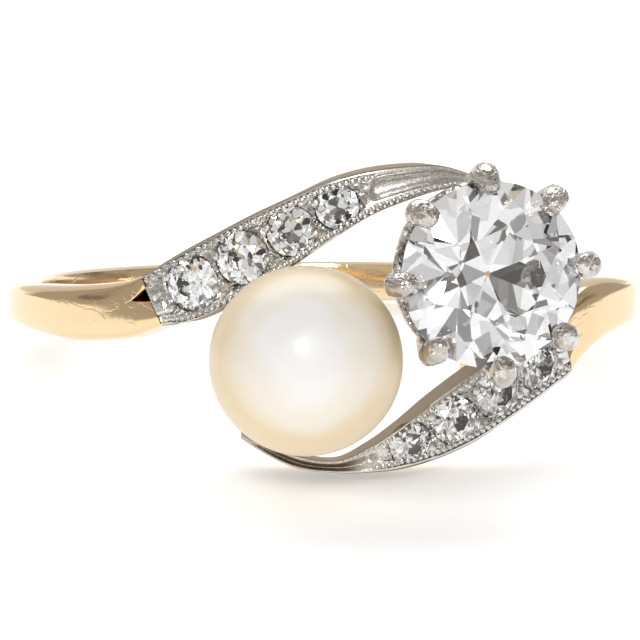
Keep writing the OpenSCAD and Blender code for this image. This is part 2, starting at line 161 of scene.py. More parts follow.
def add_object(name: str, data: bpy.types.ID) -> bpy.types.Object:
    """Adds an object with its data to the scene."""
    made = bpy.data.objects.new(name, data)
    bpy.context.scene.collection.objects.link(made)
    return made


def dress(
    bm: Mesh,
    name: str,
    material: bpy.types.Material,
    nodes: tuple[str, ...],
    sharp: float = 30.0,
) -> bpy.types.Object:
    """Makes a finished piece from a mesh in the ring's own frame.

    Args:
        bm: the mesh, in mm.
        name: name of the piece.
        material: its finish.
        nodes: CAD nodes that it stands for, if any.
        sharp: angle in degrees above which an edge stays sharp.

    Returns:
        The new object, riding on the ring.
    """
    bmesh.ops.transform(bm, matrix=REST.matrix(), verts=bm.verts)
    mesh = bpy.data.meshes.new(name)
    for face in bm.faces:
        face.smooth = sharp > 0
    bm.to_mesh(mesh)
    bm.free()
    if sharp > 0:
        mesh.set_sharp_from_angle(angle=math.radians(sharp))
    piece = add_object(name, mesh)
    mesh.materials.append(material)
    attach(piece, "root")
    if nodes:
        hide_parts(*nodes)
    LOG.info("%s: %d faces", name, len(mesh.polygons))
    return piece


def outward(bm: Mesh) -> None:
    """Merges doubles and turns all faces outward."""
    bmesh.ops.remove_doubles(bm, verts=bm.verts, dist=MERGE)
    bmesh.ops.recalc_face_normals(bm, faces=bm.faces)


# Finishes


class Nodes:
    """A node tree under construction."""

    def __init__(self, tree: Tree) -> None:
        """Takes the tree that the nodes go into."""
        self.tree = tree

    def node(self, kind: str, **settings: object) -> bpy.types.Node:
        """Adds a node and sets its properties."""
        made = self.tree.nodes.new(kind)
        for key, value in settings.items():
            setattr(made, key, value)
        return made

    def link(self, source: Socket, target: Socket) -> None:
        """Joins two sockets."""
        self.tree.links.new(source, target)

    def feed(self, value: object, target: Socket) -> None:
        """Gives a socket its value, which is another socket or a plain one."""
        if isinstance(value, Socket):
            self.link(value, target)
        else:
            target.default_value = value

    def math(self, kind: str, a: object, b: object = 0.0, c: object = 0.0, clamp: bool = False) -> Socket:
        """Adds a Math node whose inputs are sockets or numbers, and gives its output."""
        made = self.node("ShaderNodeMath", operation=kind, use_clamp=clamp)
        for socket, value in zip(made.inputs, (a, b, c)):
            self.feed(value, socket)
        return made.outputs[0]

    def texture(self, kind: str, place: Socket, scale: object, **settings: object) -> bpy.types.Node:
        """Adds a texture node on a place, with a number or a socket as its scale."""
        made = self.node("ShaderNodeTex" + kind)
        self.link(place, made.inputs["Vector"])
        self.feed(scale, made.inputs["Scale"])
        for key, value in settings.items():
            if key in made.inputs:
                made.inputs[key].default_value = value
            else:
                setattr(made, key, value)
        return made

    def mix(self, share: object, first: object, second: object) -> Socket:
        """Mixes two colours by a share, and gives the result."""
        made = self.node("ShaderNodeMixRGB")
        for socket, value in zip(made.inputs, (share, first, second)):
            self.feed(value, socket)
        return made.outputs[0]

    def split(self, vector: Socket) -> bpy.types.Node:
        """Separates a vector or colour into its three numbers."""
        made = self.node("ShaderNodeSeparateXYZ")
        self.link(vector, made.inputs[0])
        return made

    def ramp(self, value: Socket, stops: tuple[tuple[float, Colour], ...]) -> bpy.types.Node:
        """Adds a colour ramp with the given places and colours."""
        made = self.node("ShaderNodeValToRGB")
        self.link(value, made.inputs["Fac"])
        elements = made.color_ramp.elements
        while len(elements) < len(stops):
            elements.new(0.5)
        for element, (place, colour) in zip(elements, stops):
            element.position, element.color = place, colour
        return made


class Paint(Nodes):
    """Builds one node material, with the Principled shader in the material itself."""

    def __init__(self, name: str) -> None:
        """Starts the material and keeps its shader."""
        self.material = bpy.data.materials.new(name)
        self.material.use_nodes = True
        super().__init__(self.material.node_tree)
        self.shader = self.tree.nodes["Principled BSDF"]
        self.place = self.node("ShaderNodeTexCoord").outputs["Object"]

    def plain(self, **values: object) -> None:
        """Sets sockets of the shader; an underscore in a name stands for a space."""
        for key, value in values.items():
            self.feed(value, self.shader.inputs[key.replace("_", " ")])

    def group(self, tree: Tree, **values: float) -> bpy.types.Node:
        """Places a shared effect, fed with the object's own coordinates."""
        made = self.node("ShaderNodeGroup", node_tree=tree)
        self.link(self.place, made.inputs["Place"])
        for key, value in values.items():
            made.inputs[key.replace("_", " ")].default_value = value
        return made

    def bump(self, height: Socket, strength: float, distance: float) -> None:
        """Gives the shader a fine relief."""
        made = self.node("ShaderNodeBump")
        made.inputs["Strength"].default_value = strength
        made.inputs["Distance"].default_value = distance
        self.link(height, made.inputs["Height"])
        self.plain(Normal=made.outputs[0])


class Effect(Nodes):
    """A shader node group that several materials may share, with a Place input."""

    def __init__(self, name: str, inputs: dict[str, float], outputs: tuple[str, ...]) -> None:
        """Starts the group.

        Args:
            name: name of the group.
            inputs: names and default values of its number inputs.
            outputs: names of its number outputs.
        """
        super().__init__(bpy.data.node_groups.new(name, "ShaderNodeTree"))
        face = self.tree.interface
        face.new_socket("Place", in_out="INPUT", socket_type="NodeSocketVector")
        for key, value in inputs.items():
            face.new_socket(key, in_out="INPUT", socket_type="NodeSocketFloat").default_value = value
        for key in outputs:
            face.new_socket(key, in_out="OUTPUT", socket_type="NodeSocketFloat")
        self.given = self.node("NodeGroupInput").outputs
        self.out = self.node("NodeGroupOutput").inputs


def wear_effect() -> Tree:
    """Builds the fine wear of polished metal: a cloud of dulled spots and thin scratches."""
    sizes = {"Cloud Size": 400.0, "Scratch Size": 900.0, "Roughness Low": 0.08, "Roughness High": 0.2}
    made = Effect("polish_wear", sizes, ("Roughness", "Height"))
    given, thinness, scratch_rough, scratch_depth = made.given, 26.0, 0.05, 0.4
    dulled = made.texture("Noise", given["Place"], given["Cloud Size"], Detail=5.0, Roughness=0.6)
    cloud = dulled.outputs["Fac"]
    stretch = made.node("ShaderNodeMapping")
    stretch.inputs["Scale"].default_value = (1.0, 0.22, 1.6)
    stretch.inputs["Rotation"].default_value = (0.3, 0.2, 0.5)
    made.link(given["Place"], stretch.inputs["Vector"])
    lines = made.texture("Noise", stretch.outputs[0], given["Scratch Size"], Detail=3.0)
    thin = made.math("ABSOLUTE", made.math("SUBTRACT", lines.outputs["Fac"], 0.5))
    scratch = made.math("SUBTRACT", 1.0, made.math("MULTIPLY", thin, thinness), clamp=True)
    spread = made.math("SUBTRACT", given["Roughness High"], given["Roughness Low"])
    base = made.math("ADD", given["Roughness Low"], made.math("MULTIPLY", spread, cloud))
    made.link(made.math("MULTIPLY_ADD", scratch, scratch_rough, base), made.out["Roughness"])
    made.link(made.math("MULTIPLY_ADD", scratch, -scratch_depth, cloud), made.out["Height"])
    return made.tree


def chisel_effect() -> Tree:
    """Builds the small planes that a graver leaves between set stones."""
    made = Effect("graver_cuts", {"Cut Size": 6000.0}, ("Height", "Shade"))
    edge_height = 1.2
    cells = made.texture("Voronoi", made.given["Place"], made.given["Cut Size"], feature="F1").outputs
    split = made.split(cells["Color"])
    made.link(made.math("MULTIPLY_ADD", cells["Distance"], edge_height, split.outputs[0]), made.out["Height"])
    made.link(split.outputs[1], made.out["Shade"])
    return made.tree


def nacre_effect() -> Tree:
    """Builds the soft clouds and faint ripples of nacre."""
    made = Effect("nacre", {"Cloud Size": 420.0, "Ripple Size": 1100.0}, ("Cloud", "Height"))
    given, ripple_share = made.given, 0.4
    grown = made.texture("Noise", given["Place"], given["Cloud Size"], Detail=3.0, Roughness=0.55)
    cloud = grown.outputs["Fac"]
    ripple = made.texture("Noise", given["Place"], given["Ripple Size"], Detail=2.0).outputs["Fac"]
    made.link(made.math("SUBTRACT", cloud, 0.5), made.out["Cloud"])
    made.link(made.math("MULTIPLY_ADD", ripple, ripple_share, cloud), made.out["Height"])
    return made.tree


@dataclass(frozen=True)
class GoldFinish:
    """Polished yellow gold, a little rosy, with the fine wear of an old ring and painted shade in its V cuts.
    """

    colour: Colour = (0.93, 0.72, 0.48, 1)
    deep: Colour = (0.90, 0.66, 0.38, 1)
    # painted shade: the dark colour laid into the V cuts, where shade falls
    shade: Colour = (0.10, 0.05, 0.03, 1)
    bump: float = 0.12

    def build(self, wear: Tree) -> bpy.types.Material:
        """Builds the material from the shared wear."""
        paint = Paint("gold")
        paint.plain(Metallic=1.0)
        sizes = {"Cloud_Size": 350.0, "Scratch_Size": 1500.0}
        worn = paint.group(wear, **sizes, Roughness_Low=0.05, Roughness_High=0.14).outputs
        cloud = paint.texture("Noise", paint.place, 180.0, Detail=2.0).outputs["Fac"]
        mask = paint.node("ShaderNodeAttribute", attribute_name="cut").outputs["Fac"]
        # the cut layer marks where shade is painted into the V cuts
        colour = paint.mix(mask, paint.mix(cloud, self.colour, self.deep), self.shade)
        paint.plain(Roughness=worn["Roughness"], Base_Color=colour)
        paint.bump(worn["Height"], self.bump, 0.00002)
        return paint.material


@dataclass(frozen=True)
class PlatinumFinish:
    """Platinum, polished on its rims, chiselled between the stones, with painted shade on its graver's planes
    and on its walls.

    The vertex layer named cut is 1 where the graver has been and -1 on the walls, where shade is painted: a
    darker brown, less metallic and rougher.
    """

    name: str
    colour: Colour = (0.84, 0.825, 0.805, 1)
    # dark colour for wear and for painted shade: each graver's plane is darkened at random, as if it caught
    # less light
    wear_and_painted_shade: Colour = (0.60, 0.58, 0.56, 1)
    # painted shade: the dark brown colour of the walls
    painted_wall_shade: Colour = (0.30, 0.235, 0.165, 1)
    worn_share: float = 0.35
    low: float = 0.14
    high: float = 0.34
    dents: float = 0.1
    hammered: float = 0.0
    cut_shade: float = 0.4
    # how much the walls' painted shade takes from the metal's shine
    wall_shade_dulling: float = 0.35
    wall_rough: float = 0.3

    def build(self, wear: Tree, chisel: Tree) -> bpy.types.Material:
        """Builds the material from the shared wear and graver cuts."""
        paint = Paint(self.name)
        sizes = {"Cloud_Size": 1400.0, "Scratch_Size": 5200.0}
        worn = paint.group(wear, **sizes, Roughness_Low=self.low, Roughness_High=self.high).outputs
        cut = paint.group(chisel, Cut_Size=5200.0).outputs
        mask = paint.node("ShaderNodeAttribute", attribute_name="cut").outputs["Fac"]
        field = paint.math("MAXIMUM", mask, self.hammered)
        # wall masks the walls' painted shade, which also dulls and roughens the metal
        wall = paint.math("MAXIMUM", paint.math("MULTIPLY", mask, -1.0), 0.0, clamp=True)
        dull = paint.math("MULTIPLY", worn["Height"], self.worn_share)
        # painted shade on the graver's planes, plus the darker dulled cloud of wear
        shaded = paint.math("MULTIPLY_ADD", cut["Shade"], paint.math("MULTIPLY", field, self.cut_shade), dull)
        tint = paint.mix(shaded, self.colour, self.wear_and_painted_shade)
        soft = paint.math("MULTIPLY", worn["Height"], self.dents)
        paint.plain(
            Metallic=paint.math("MULTIPLY_ADD", wall, -self.wall_shade_dulling, 1.0),
            Roughness=paint.math("MULTIPLY_ADD", wall, self.wall_rough, worn["Roughness"]),
            Base_Color=paint.mix(wall, tint, self.painted_wall_shade),
        )
        paint.bump(paint.math("MULTIPLY_ADD", cut["Height"], field, soft), 0.6, 0.00006)
        return paint.material


@dataclass(frozen=True)
class DiamondFinish:
    """Clear diamond with a breath of tint that changes from facet to facet."""

    name: str
    ior: float = 2.417

    def build(self) -> bpy.types.Material:
        """Builds the glass material."""
        paint = Paint(self.name)
        paint.plain(Metallic=0.0, Roughness=0.0, IOR=self.ior, Transmission_Weight=1.0)
        cells = paint.texture("Voronoi", paint.place, 900.0)
        white = (1, 1, 1, 1)
        tints = ((0.0, (0.93, 0.93, 0.97, 1)), (0.45, white), (0.8, white), (1.0, (0.97, 0.93, 0.90, 1)))
        split = paint.split(cells.outputs["Color"])
        paint.plain(Base_Color=paint.ramp(split.outputs[0], tints).outputs["Color"])
        return paint.material


@dataclass(frozen=True)
class PearlFinish:
    """Cream pearl under a soft clear skin, with a painted highlight where it faces front and up, and painted
    shade, beige, toward its sides.
    """

    painted_highlight: Colour = (0.95, 0.93, 0.91, 1)
    cream: Colour = (0.90, 0.83, 0.73, 1)
    painted_rim_shade: Colour = (0.82, 0.67, 0.44, 1)
    centre: tuple[float, float, float] = (-2.2, -12.575, -0.87)
    # crown is the way that the painted highlight faces, toward the front and up
    crown: tuple[float, float, float] = (-0.1, -0.92, 0.36)
    cloud: float = 0.34

    def build(self, nacre: Tree) -> bpy.types.Material:
        """Builds the material from the shared nacre."""
        paint = Paint("pearl")
        paint.plain(Roughness=0.42, IOR=1.5, Coat_Weight=0.5, Coat_Roughness=0.24, Coat_IOR=1.5)
        paint.plain(Subsurface_Weight=0.2, Subsurface_Scale=0.0008)
        grown = paint.group(nacre).outputs
        away = paint.node("ShaderNodeVectorMath", operation="SUBTRACT")
        paint.link(paint.place, away.inputs[0])
        away.inputs[1].default_value = REST.matrix() @ Vector(self.centre)
        way = paint.node("ShaderNodeVectorMath", operation="NORMALIZE")
        paint.link(away.outputs[0], way.inputs[0])
        toward_painted_light = paint.node("ShaderNodeVectorMath", operation="DOT_PRODUCT")
        paint.link(way.outputs[0], toward_painted_light.inputs[0])
        toward_painted_light.inputs[1].default_value = Vector(self.crown).normalized()
        # painted light: palest where the pearl faces the painted highlight's way, beige where it turns away
        height = paint.math("MULTIPLY_ADD", grown["Cloud"], self.cloud, toward_painted_light.outputs["Value"])
        tints = ((0.0, self.painted_rim_shade), (0.45, self.painted_rim_shade), (0.78, self.cream), (0.96, self.painted_highlight))
        ramp = paint.ramp(height, tints)
        ramp.color_ramp.interpolation = "EASE"
        paint.plain(Base_Color=ramp.outputs["Color"])
        paint.bump(grown["Height"], 0.3, 0.00012)
        return paint.material


class Finish(Enum):
    """The finishes that the ring's pieces take."""

    GOLD = "gold"
    PLATINUM = "platinum"
    CUT_PLATINUM = "cut_platinum"
    DIAMOND = "diamond"
    SMALL_DIAMOND = "small_diamond"
    PEARL = "pearl"


class Palette:
    """Builds each finish once."""

    def __init__(self) -> None:
        """Builds the shared effects and the finishes."""
        wear, chisel = wear_effect(), chisel_effect()
        self.made = {
            Finish.GOLD: GoldFinish().build(wear),
            Finish.PLATINUM: PlatinumFinish(
                "platinum",
                colour=(0.95, 0.93, 0.905, 1),
                wear_and_painted_shade=(0.34, 0.27, 0.22, 1),
                worn_share=0.55,
                low=0.07,
                high=0.2,
                dents=0.5,
                # hammered spreads the graver's planes and their painted shade over the whole coronet
                hammered=0.9,
            ).build(wear, chisel),
            Finish.CUT_PLATINUM: PlatinumFinish("cut_platinum").build(wear, chisel),
            Finish.DIAMOND: DiamondFinish("diamond").build(),
            Finish.SMALL_DIAMOND: DiamondFinish("small_diamond").build(),
            Finish.PEARL: PearlFinish().build(nacre_effect()),
        }

    def __getitem__(self, finish: Finish) -> bpy.types.Material:
        """Gives a finish."""
        return self.made[finish]


# The shoulders' run


@dataclass(frozen=True)
class Station:
    """One cross-section of a shoulder, as shares of the sizes in ShoulderRun."""

    angle: float
    middle: float
    width: float
    thick: float
    square: float


@dataclass
class ShoulderRun:
    """The course of one shoulder round the finger, in its own frame, in mm."""

    stations: list[Station]
    first_stone: float
    lower: bool
    bore_r: float = 8.7
    crest_h: float = 4.3
    shoulder_w: float = 2.3
    crest_t: float = 2.0
    liner_t: float = 0.65
    liner_inset: float = 0.22
    field_depth: float = 0.16
    small_d: float = 1.6
    small_last_d: float = 1.28
    small_gap: float = 0.18
    stones: int = 4
    seam: float = -38
    seam_lean: float = 2.2
    seam_soft: float = 3.4

    def value(self, column: str, angle: float) -> float:
        """Gives a column's value at any angle, on a smooth curve through the stations."""
        rows = self.stations
        i = 0
        while i < len(rows) - 2 and rows[i + 1].angle < angle:
            i += 1

        def at(k: int) -> float:
            return getattr(rows[k], column)

        def slope(k: int) -> float:
            a, b = max(k - 1, 0), min(k + 1, len(rows) - 1)
            return (at(b) - at(a)) / (rows[b].angle - rows[a].angle)

        run = rows[i + 1].angle - rows[i].angle
        t = (angle - rows[i].angle) / run
        rise = at(i + 1) - at(i)
        start, end = slope(i) * run, slope(i + 1) * run
        return at(i) + start * t + (3 * rise - 2 * start - end) * t * t + (start + end - 2 * rise) * t**3

    def middle(self, angle: float) -> float:
        """Height of the middle line."""
        return self.crest_h * self.value("middle", angle)

    def width(self, angle: float) -> float:
        """Width across."""
        return self.shoulder_w * self.value("width", angle)

    def top_r(self, angle: float) -> float:
        """Radius of the outside."""
        return self.bore_r + self.crest_t * self.value("thick", angle)

    def slope(self, angle: float) -> float:
        """Rise of the middle line along the shoulder, in radians."""
        climb = self.middle(angle + 0.5) - self.middle(angle - 0.5)
        return math.atan2(climb, self.top_r(angle) * math.radians(1))

    def small_size(self, i: int) -> float:
        """Diameter of a small stone, counted from the band."""
        return self.small_d - (self.small_d - self.small_last_d) * (i / (self.stones - 1)) ** 2

    def small_angle(self, i: int) -> float:
        """Angle of a small stone, each one small gap past the one before."""
        angle = self.first_stone
        for k in range(i):
            pitch = (self.small_size(k) + self.small_size(k + 1)) / 2 + self.small_gap
            ahead = angle + 3.5
            climb = self.middle(ahead + 0.5) - self.middle(ahead - 0.5)
            run = self.top_r(angle) * math.radians(1)
            angle += pitch / math.hypot(run, climb)
        return angle

    def turned(self) -> Matrix:
        """Turn from the shoulder's own frame into its place on the ring."""
        return Matrix.Rotation(math.pi, 4, "Y") if self.lower else Matrix.Identity(4)

    def spot(self, angle: float, share: float, out: float) -> Vector:
        """Gives a point on the shoulder, carried along by the slant of the seam with the gold.

        Args:
            angle: place along the shoulder, in degrees.
            share: place across it, from -1 at its inner side to 1 at its outer side.
            out: distance outward from the rails in mm.

        Returns:
            The point in the ring's own frame.
        """
        real = angle - self.seam_lean * share * math.exp(-(((angle - self.seam) / self.seam_soft) ** 2))
        height = self.middle(real) + share * self.width(real) / 2
        point = on_ring(real, self.top_r(real) + out, height)
        return Vector((-point.x, point.y, -point.z)) if self.lower else point

    def place(self, angle: float, across: float, out: float) -> Matrix:
        """Gives axes and position on the shoulder.

        Args:
            angle: place along the shoulder, in degrees.
            across: distance from the middle line in mm, positive away from the heads.
            out: distance outward from the rails in mm.

        Returns:
            A matrix in the ring's own frame.
        """
        point = self.spot(angle, across / (self.width(angle) / 2), out)
        return Matrix.Translation(point) @ self.turned() @ ring_axes(angle, self.slope(angle))


UPPER = ShoulderRun(
    [
        Station(-90, 0, 0.5435, 0.55, 0.6),
        Station(-72, 0.01, 0.64, 0.575, 0.6),
        Station(-58, 0.01, 0.74, 0.60, 0.6),
        Station(-44, 0.065, 0.76, 0.675, 0.6),
        Station(-38, 0.14, 0.76, 0.735, 0.6),
        Station(-35, 0.193, 0.82, 0.765, 0.75),
        Station(-30, 0.266, 0.96, 0.80, 0.8),
        Station(-25, 0.361, 1, 0.83, 0.8),
        Station(-19, 0.501, 0.96, 0.87, 0.8),
        Station(-12, 0.655, 0.89, 0.92, 0.8),
        Station(-6, 0.795, 0.76, 0.97, 0.8),
        Station(0, 0.905, 0.58, 0.99, 0.8),
        Station(6, 0.97, 0.44, 1, 0.8),
        Station(11, 1, 0.32, 1, 0.8),
        Station(16, 0.985, 0.1565, 0.98, 0.8),
        Station(23, 0.86, 0.1565, 0.9, 0.8),
        Station(29, 0.72, 0.1565, 0.85, 0.8),
    ],
    first_stone=-29.9,
    lower=False,
)
LOWER = ShoulderRun(
    [
        Station(-90, 0, 0.5435, 0.55, 0.6),
        Station(-66, -0.03, 0.67, 0.585, 0.6),
        Station(-55, -0.02, 0.80, 0.61, 0.6),
        Station(-48, 0.025, 0.90, 0.65, 0.6),
        Station(-43, 0.085, 0.94, 0.68, 0.6),
        Station(-38, 0.19, 0.92, 0.735, 0.6),
        Station(-35, 0.247, 0.87, 0.765, 0.75),
        Station(-30, 0.341, 0.89, 0.80, 0.8),
        Station(-24.5, 0.45, 0.90, 0.83, 0.8),
        Station(-18, 0.583, 0.905, 0.88, 0.8),
        Station(-11, 0.725, 0.775, 0.93, 0.8),
        Station(-5, 0.845, 0.55, 0.98, 0.8),
        Station(0, 0.92, 0.34, 1, 0.8),
        Station(5.5, 0.97, 0.1565, 1, 0.8),
        Station(12.5, 0.93, 0.1565, 0.98, 0.8),
        Station(20, 0.77, 0.1565, 0.92, 0.8),
        Station(24, 0.64, 0.1565, 0.88, 0.8),
        Station(29, 0.52, 0.1565, 0.85, 0.8),
    ],
    first_stone=-31.3,
    lower=True,
)


def steps_between(start: float, end: float, step: float) -> list[float]:
    """Gives evenly spaced values from start to end, about one step apart."""
    count = max(1, round((end - start) / step))
    return [start + (end - start) * k / count for k in range(count + 1)]


def ease(t: float) -> float:
    """Gives a smooth rise from 0 to 1."""
    t = min(1.0, max(0.0, t))
    return t * t * (3 - 2 * t)


def smooth_path(keys: list[tuple], steps: int) -> list[tuple]:
    """Gives points on a smooth curve through the keys, with a number of steps between two of them."""
    path = []
    for i in range(len(keys) - 1):
        around = (keys[max(i - 1, 0)], keys[i], keys[i + 1], keys[min(i + 2, len(keys) - 1)])
        for k in range(steps):
            t = k / steps
            point = []
            for p, q, r, s in zip(*around):
                bend, twist = 2 * p - 5 * q + 4 * r - s, 3 * q - p - 3 * r + s
                point.append(0.5 * (2 * q + (r - p) * t + bend * t * t + twist * t**3))
            path.append(tuple(point))
    return path + [keys[-1]]


# Gold


@dataclass
class Shank:
    """The gold strip from one tail round the back to the other, with its two bridges, in mm."""

    palette: Palette
    band_w: float = 1.25
    band_t: float = 1.1
    back_t: float = 1.0
    square: float = 0.6
    seam_square: float = 0.92
    edge_ease: float = 0.1
    plate_start: float = -38
    outline_steps: int = 48
    square_run: float = 13
    coarse_step: float = 1.5
    fine_step: float = 0.12
    notch_angle: float = -42.0
    notch_run: float = 5
    notch_half: float = 0.3
    notch_rise: float = 0.2
    notch_share: float = 1 / 3
    notch_lip: float = 0.25
    notch_depth: float = 0.42
    notch_point: float = 0.02
    lip_depth: float = 0.05
    bridge_w: float = 1.15
    bridge_t: float = 0.55
    main_bridge: float = 24
    pearl_bridge: float = 20.8

    def outline(self, middle: float, wide: float, side: Outline, bore_r: float) -> Outline:
        """Closes an outer side along the finger hole.

        Args:
            middle: height of its middle.
            wide: width across.
            side: thickness and height of each point of the outer side.
            bore_r: radius of the finger hole.

        Returns:
            Radii and heights, from the lower inner edge to the upper one.
        """
        half = wide / 2
        soft = min(self.edge_ease, half / 3)
        low = [(bore_r, middle - half + 2 * soft), (bore_r + 0.3 * soft, middle - half + 0.6 * soft)]
        high = [(r, 2 * middle - h) for r, h in reversed(low)]
        return low + [(bore_r + t, middle + h) for t, h in side] + high

    def notch_edge(self, half: float, angle: float) -> tuple[float, float, float]:
        """Gives how far the V cut has opened, its half width and the height of its middle."""
        reach = (angle - self.notch_angle) / (self.plate_start - self.notch_angle)
        near = ease((angle - self.notch_angle + self.notch_run) / self.notch_run)
        wide = half * self.notch_share
        closed = wide + (self.notch_point - wide) * near
        edge = closed if reach <= 0 else self.notch_point + self.notch_half * reach
        return max(0.0, reach), edge, self.notch_rise * near

    def bare_side(self, half: float, thick: float, square: float, angle: float) -> Side:
        """Gives the outer side of bare gold, rounded to a squareness, and the share of shade in its V cut."""
        near_seam = ease((angle - self.plate_start + self.square_run) / self.square_run)
        square += (self.seam_square - square) * near_seam
        power = 1 - 0.85 * square
        reach, edge, middle = self.notch_edge(half, angle)
        side, shade = [], []
        for k in range(self.outline_steps + 1):
            turn = 2 * k / self.outline_steps - 1
            inside = turn / self.notch_share
            height, deep, dark = middle + edge * inside, 0.0, 0.0
            if abs(inside) > 1.001:
                foot = middle + math.copysign(edge, turn)
                out = math.sin(math.pi / 2 * (abs(turn) - self.notch_share) / (1 - self.notch_share))
                height = foot + (math.copysign(half, turn) - foot) * out
            elif reach > 0:
                lip = 1 - self.notch_lip
                fall = min(1.0, (1 - abs(inside)) / self.notch_lip) * self.lip_depth
                wall = max(0.0, 1 - abs(inside) / lip)
                deep = (fall + self.notch_depth * wall) * min(1.0, reach * 1.4)
                # painted shade: the V cut's inside, but for a strip at one side, is marked dark where shade
                # falls
                dark = 1.0 if wall > 0 and inside > -0.6 else 0.0
            rise = thick * (0.25 + 0.75 * (1 - min(1.0, abs(height / half)) ** (2 / power)) ** (power / 2))
            side.append((rise - deep, height))
            shade.append(dark)
        return side, shade

    def flat_side(self, half: float, liner: float) -> Side:
        """Gives the outer side of the gold under the platinum."""
        run = self.outline_steps - 2
        flat = [(liner, half * (2 * k / run - 1)) for k in range(run + 1)]
        return [(liner / 2, -half)] + flat + [(liner / 2, half)], [0.0] * (self.outline_steps + 1)

    def arm(self, run: ShoulderRun, angle: float) -> Section:
        """Gives the gold's section on one shoulder, in the ring's own frame, with its shade."""
        full = run.width(angle)
        covered = angle > self.plate_start
        wide = full - (min(run.liner_inset, full / 4) if covered else 0)
        middle = (full - wide) / 2
        thick = run.top_r(angle) - run.bore_r
        side, shade = (
            self.flat_side(wide / 2, run.liner_t)
            if covered
            else self.bare_side(wide / 2, thick, run.value("square", angle), angle)
        )
        shape = self.outline(middle, wide, side, run.bore_r)
        shade = [0.0, 0.0] + shade + [0.0, 0.0]
        points = []
        for r, h in shape:
            point = run.spot(angle, h / (full / 2), 0)
            axis = Vector((0, 0, point.z))
            lean = (point - axis).length - run.bore_r
            points.append(axis + (point - axis).normalized() * (run.bore_r + (r - run.bore_r) * lean / thick))
        return (points[::-1], shade[::-1]) if run.lower else (points, shade)

    def arm_angles(self, end: float) -> list[float]:
        """Gives the angles of an arm's sections, close together at the V cut."""
        bare = steps_between(-90, self.notch_angle, self.coarse_step)
        notched = steps_between(self.notch_angle, self.plate_start, self.fine_step)[1:]
        return bare + notched + steps_between(self.plate_start + 0.2, end, self.coarse_step)

    def bridge_half(self) -> float:
        """Gives half a bridge's width, in degrees round the finger."""
        return math.degrees(self.bridge_w / 2 / UPPER.bore_r)

    def bridge(self, bm: Mesh, angle: float, low: float, high: float) -> None:
        """Spins the curved bar that joins the shoulders under a head."""
        start = angle - self.bridge_half()
        sweep = math.radians(2 * self.bridge_half())
        corners = [(0.0, low), (self.bridge_t, low), (self.bridge_t, high), (0.0, high)]
        verts = [bm.verts.new(on_ring(start, UPPER.bore_r + 0.002 + t, h)) for t, h in corners]
        face = bm.faces.new(verts)
        turn = {"cent": (0, 0, 0), "axis": (0, 0, 1), "angle": sweep, "steps": 12}
        bmesh.ops.spin(bm, geom=[face], use_duplicate=False, **turn)

    def build(self) -> bpy.types.Object:
        """Builds the gold and dresses it."""
        bm = bmesh.new()
        half = self.bridge_half() * 0.7
        lower = [self.arm(LOWER, a) for a in reversed(self.arm_angles(self.pearl_bridge + half))]
        upper = [self.arm(UPPER, a) for a in self.arm_angles(self.main_bridge + half)]
        back, none = [], [0.0] * (self.outline_steps + 5)
        for angle in steps_between(90, 270, 2)[1:-1]:
            thick = self.band_t + (self.back_t - self.band_t) * math.sin(math.radians(angle - 90)) ** 2
            side = self.bare_side(self.band_w / 2, thick, self.square, -90)[0]
            shape = self.outline(0, self.band_w, side, UPPER.bore_r)
            back.append(([on_ring(angle, r, h) for r, h in shape], none))
        rows = lower + back + upper
        bm.verts.layers.float.new("cut")
        loft(bm, [points for points, _ in rows], [shade for _, shade in rows])
        main, pearl = self.main_bridge, self.pearl_bridge
        self.bridge(bm, main, -self.broad_end(LOWER, -main), self.tail_end(UPPER, main))
        self.bridge(bm, -pearl, -self.tail_end(LOWER, pearl), self.broad_end(UPPER, -pearl))
        outward(bm)
        return dress(bm, "gold_shank", self.palette[Finish.GOLD], ("shank",), 40)

    def tail_end(self, run: ShoulderRun, angle: float) -> float:
        """Gives the height at which a bridge ends in the tail beside it."""
        return run.middle(angle + self.bridge_half())

    def broad_end(self, run: ShoulderRun, angle: float) -> float:
        """Gives the height at which a bridge ends in the broad shoulder across from it."""
        return run.middle(angle) - run.width(angle) * 0.2


# Platinum


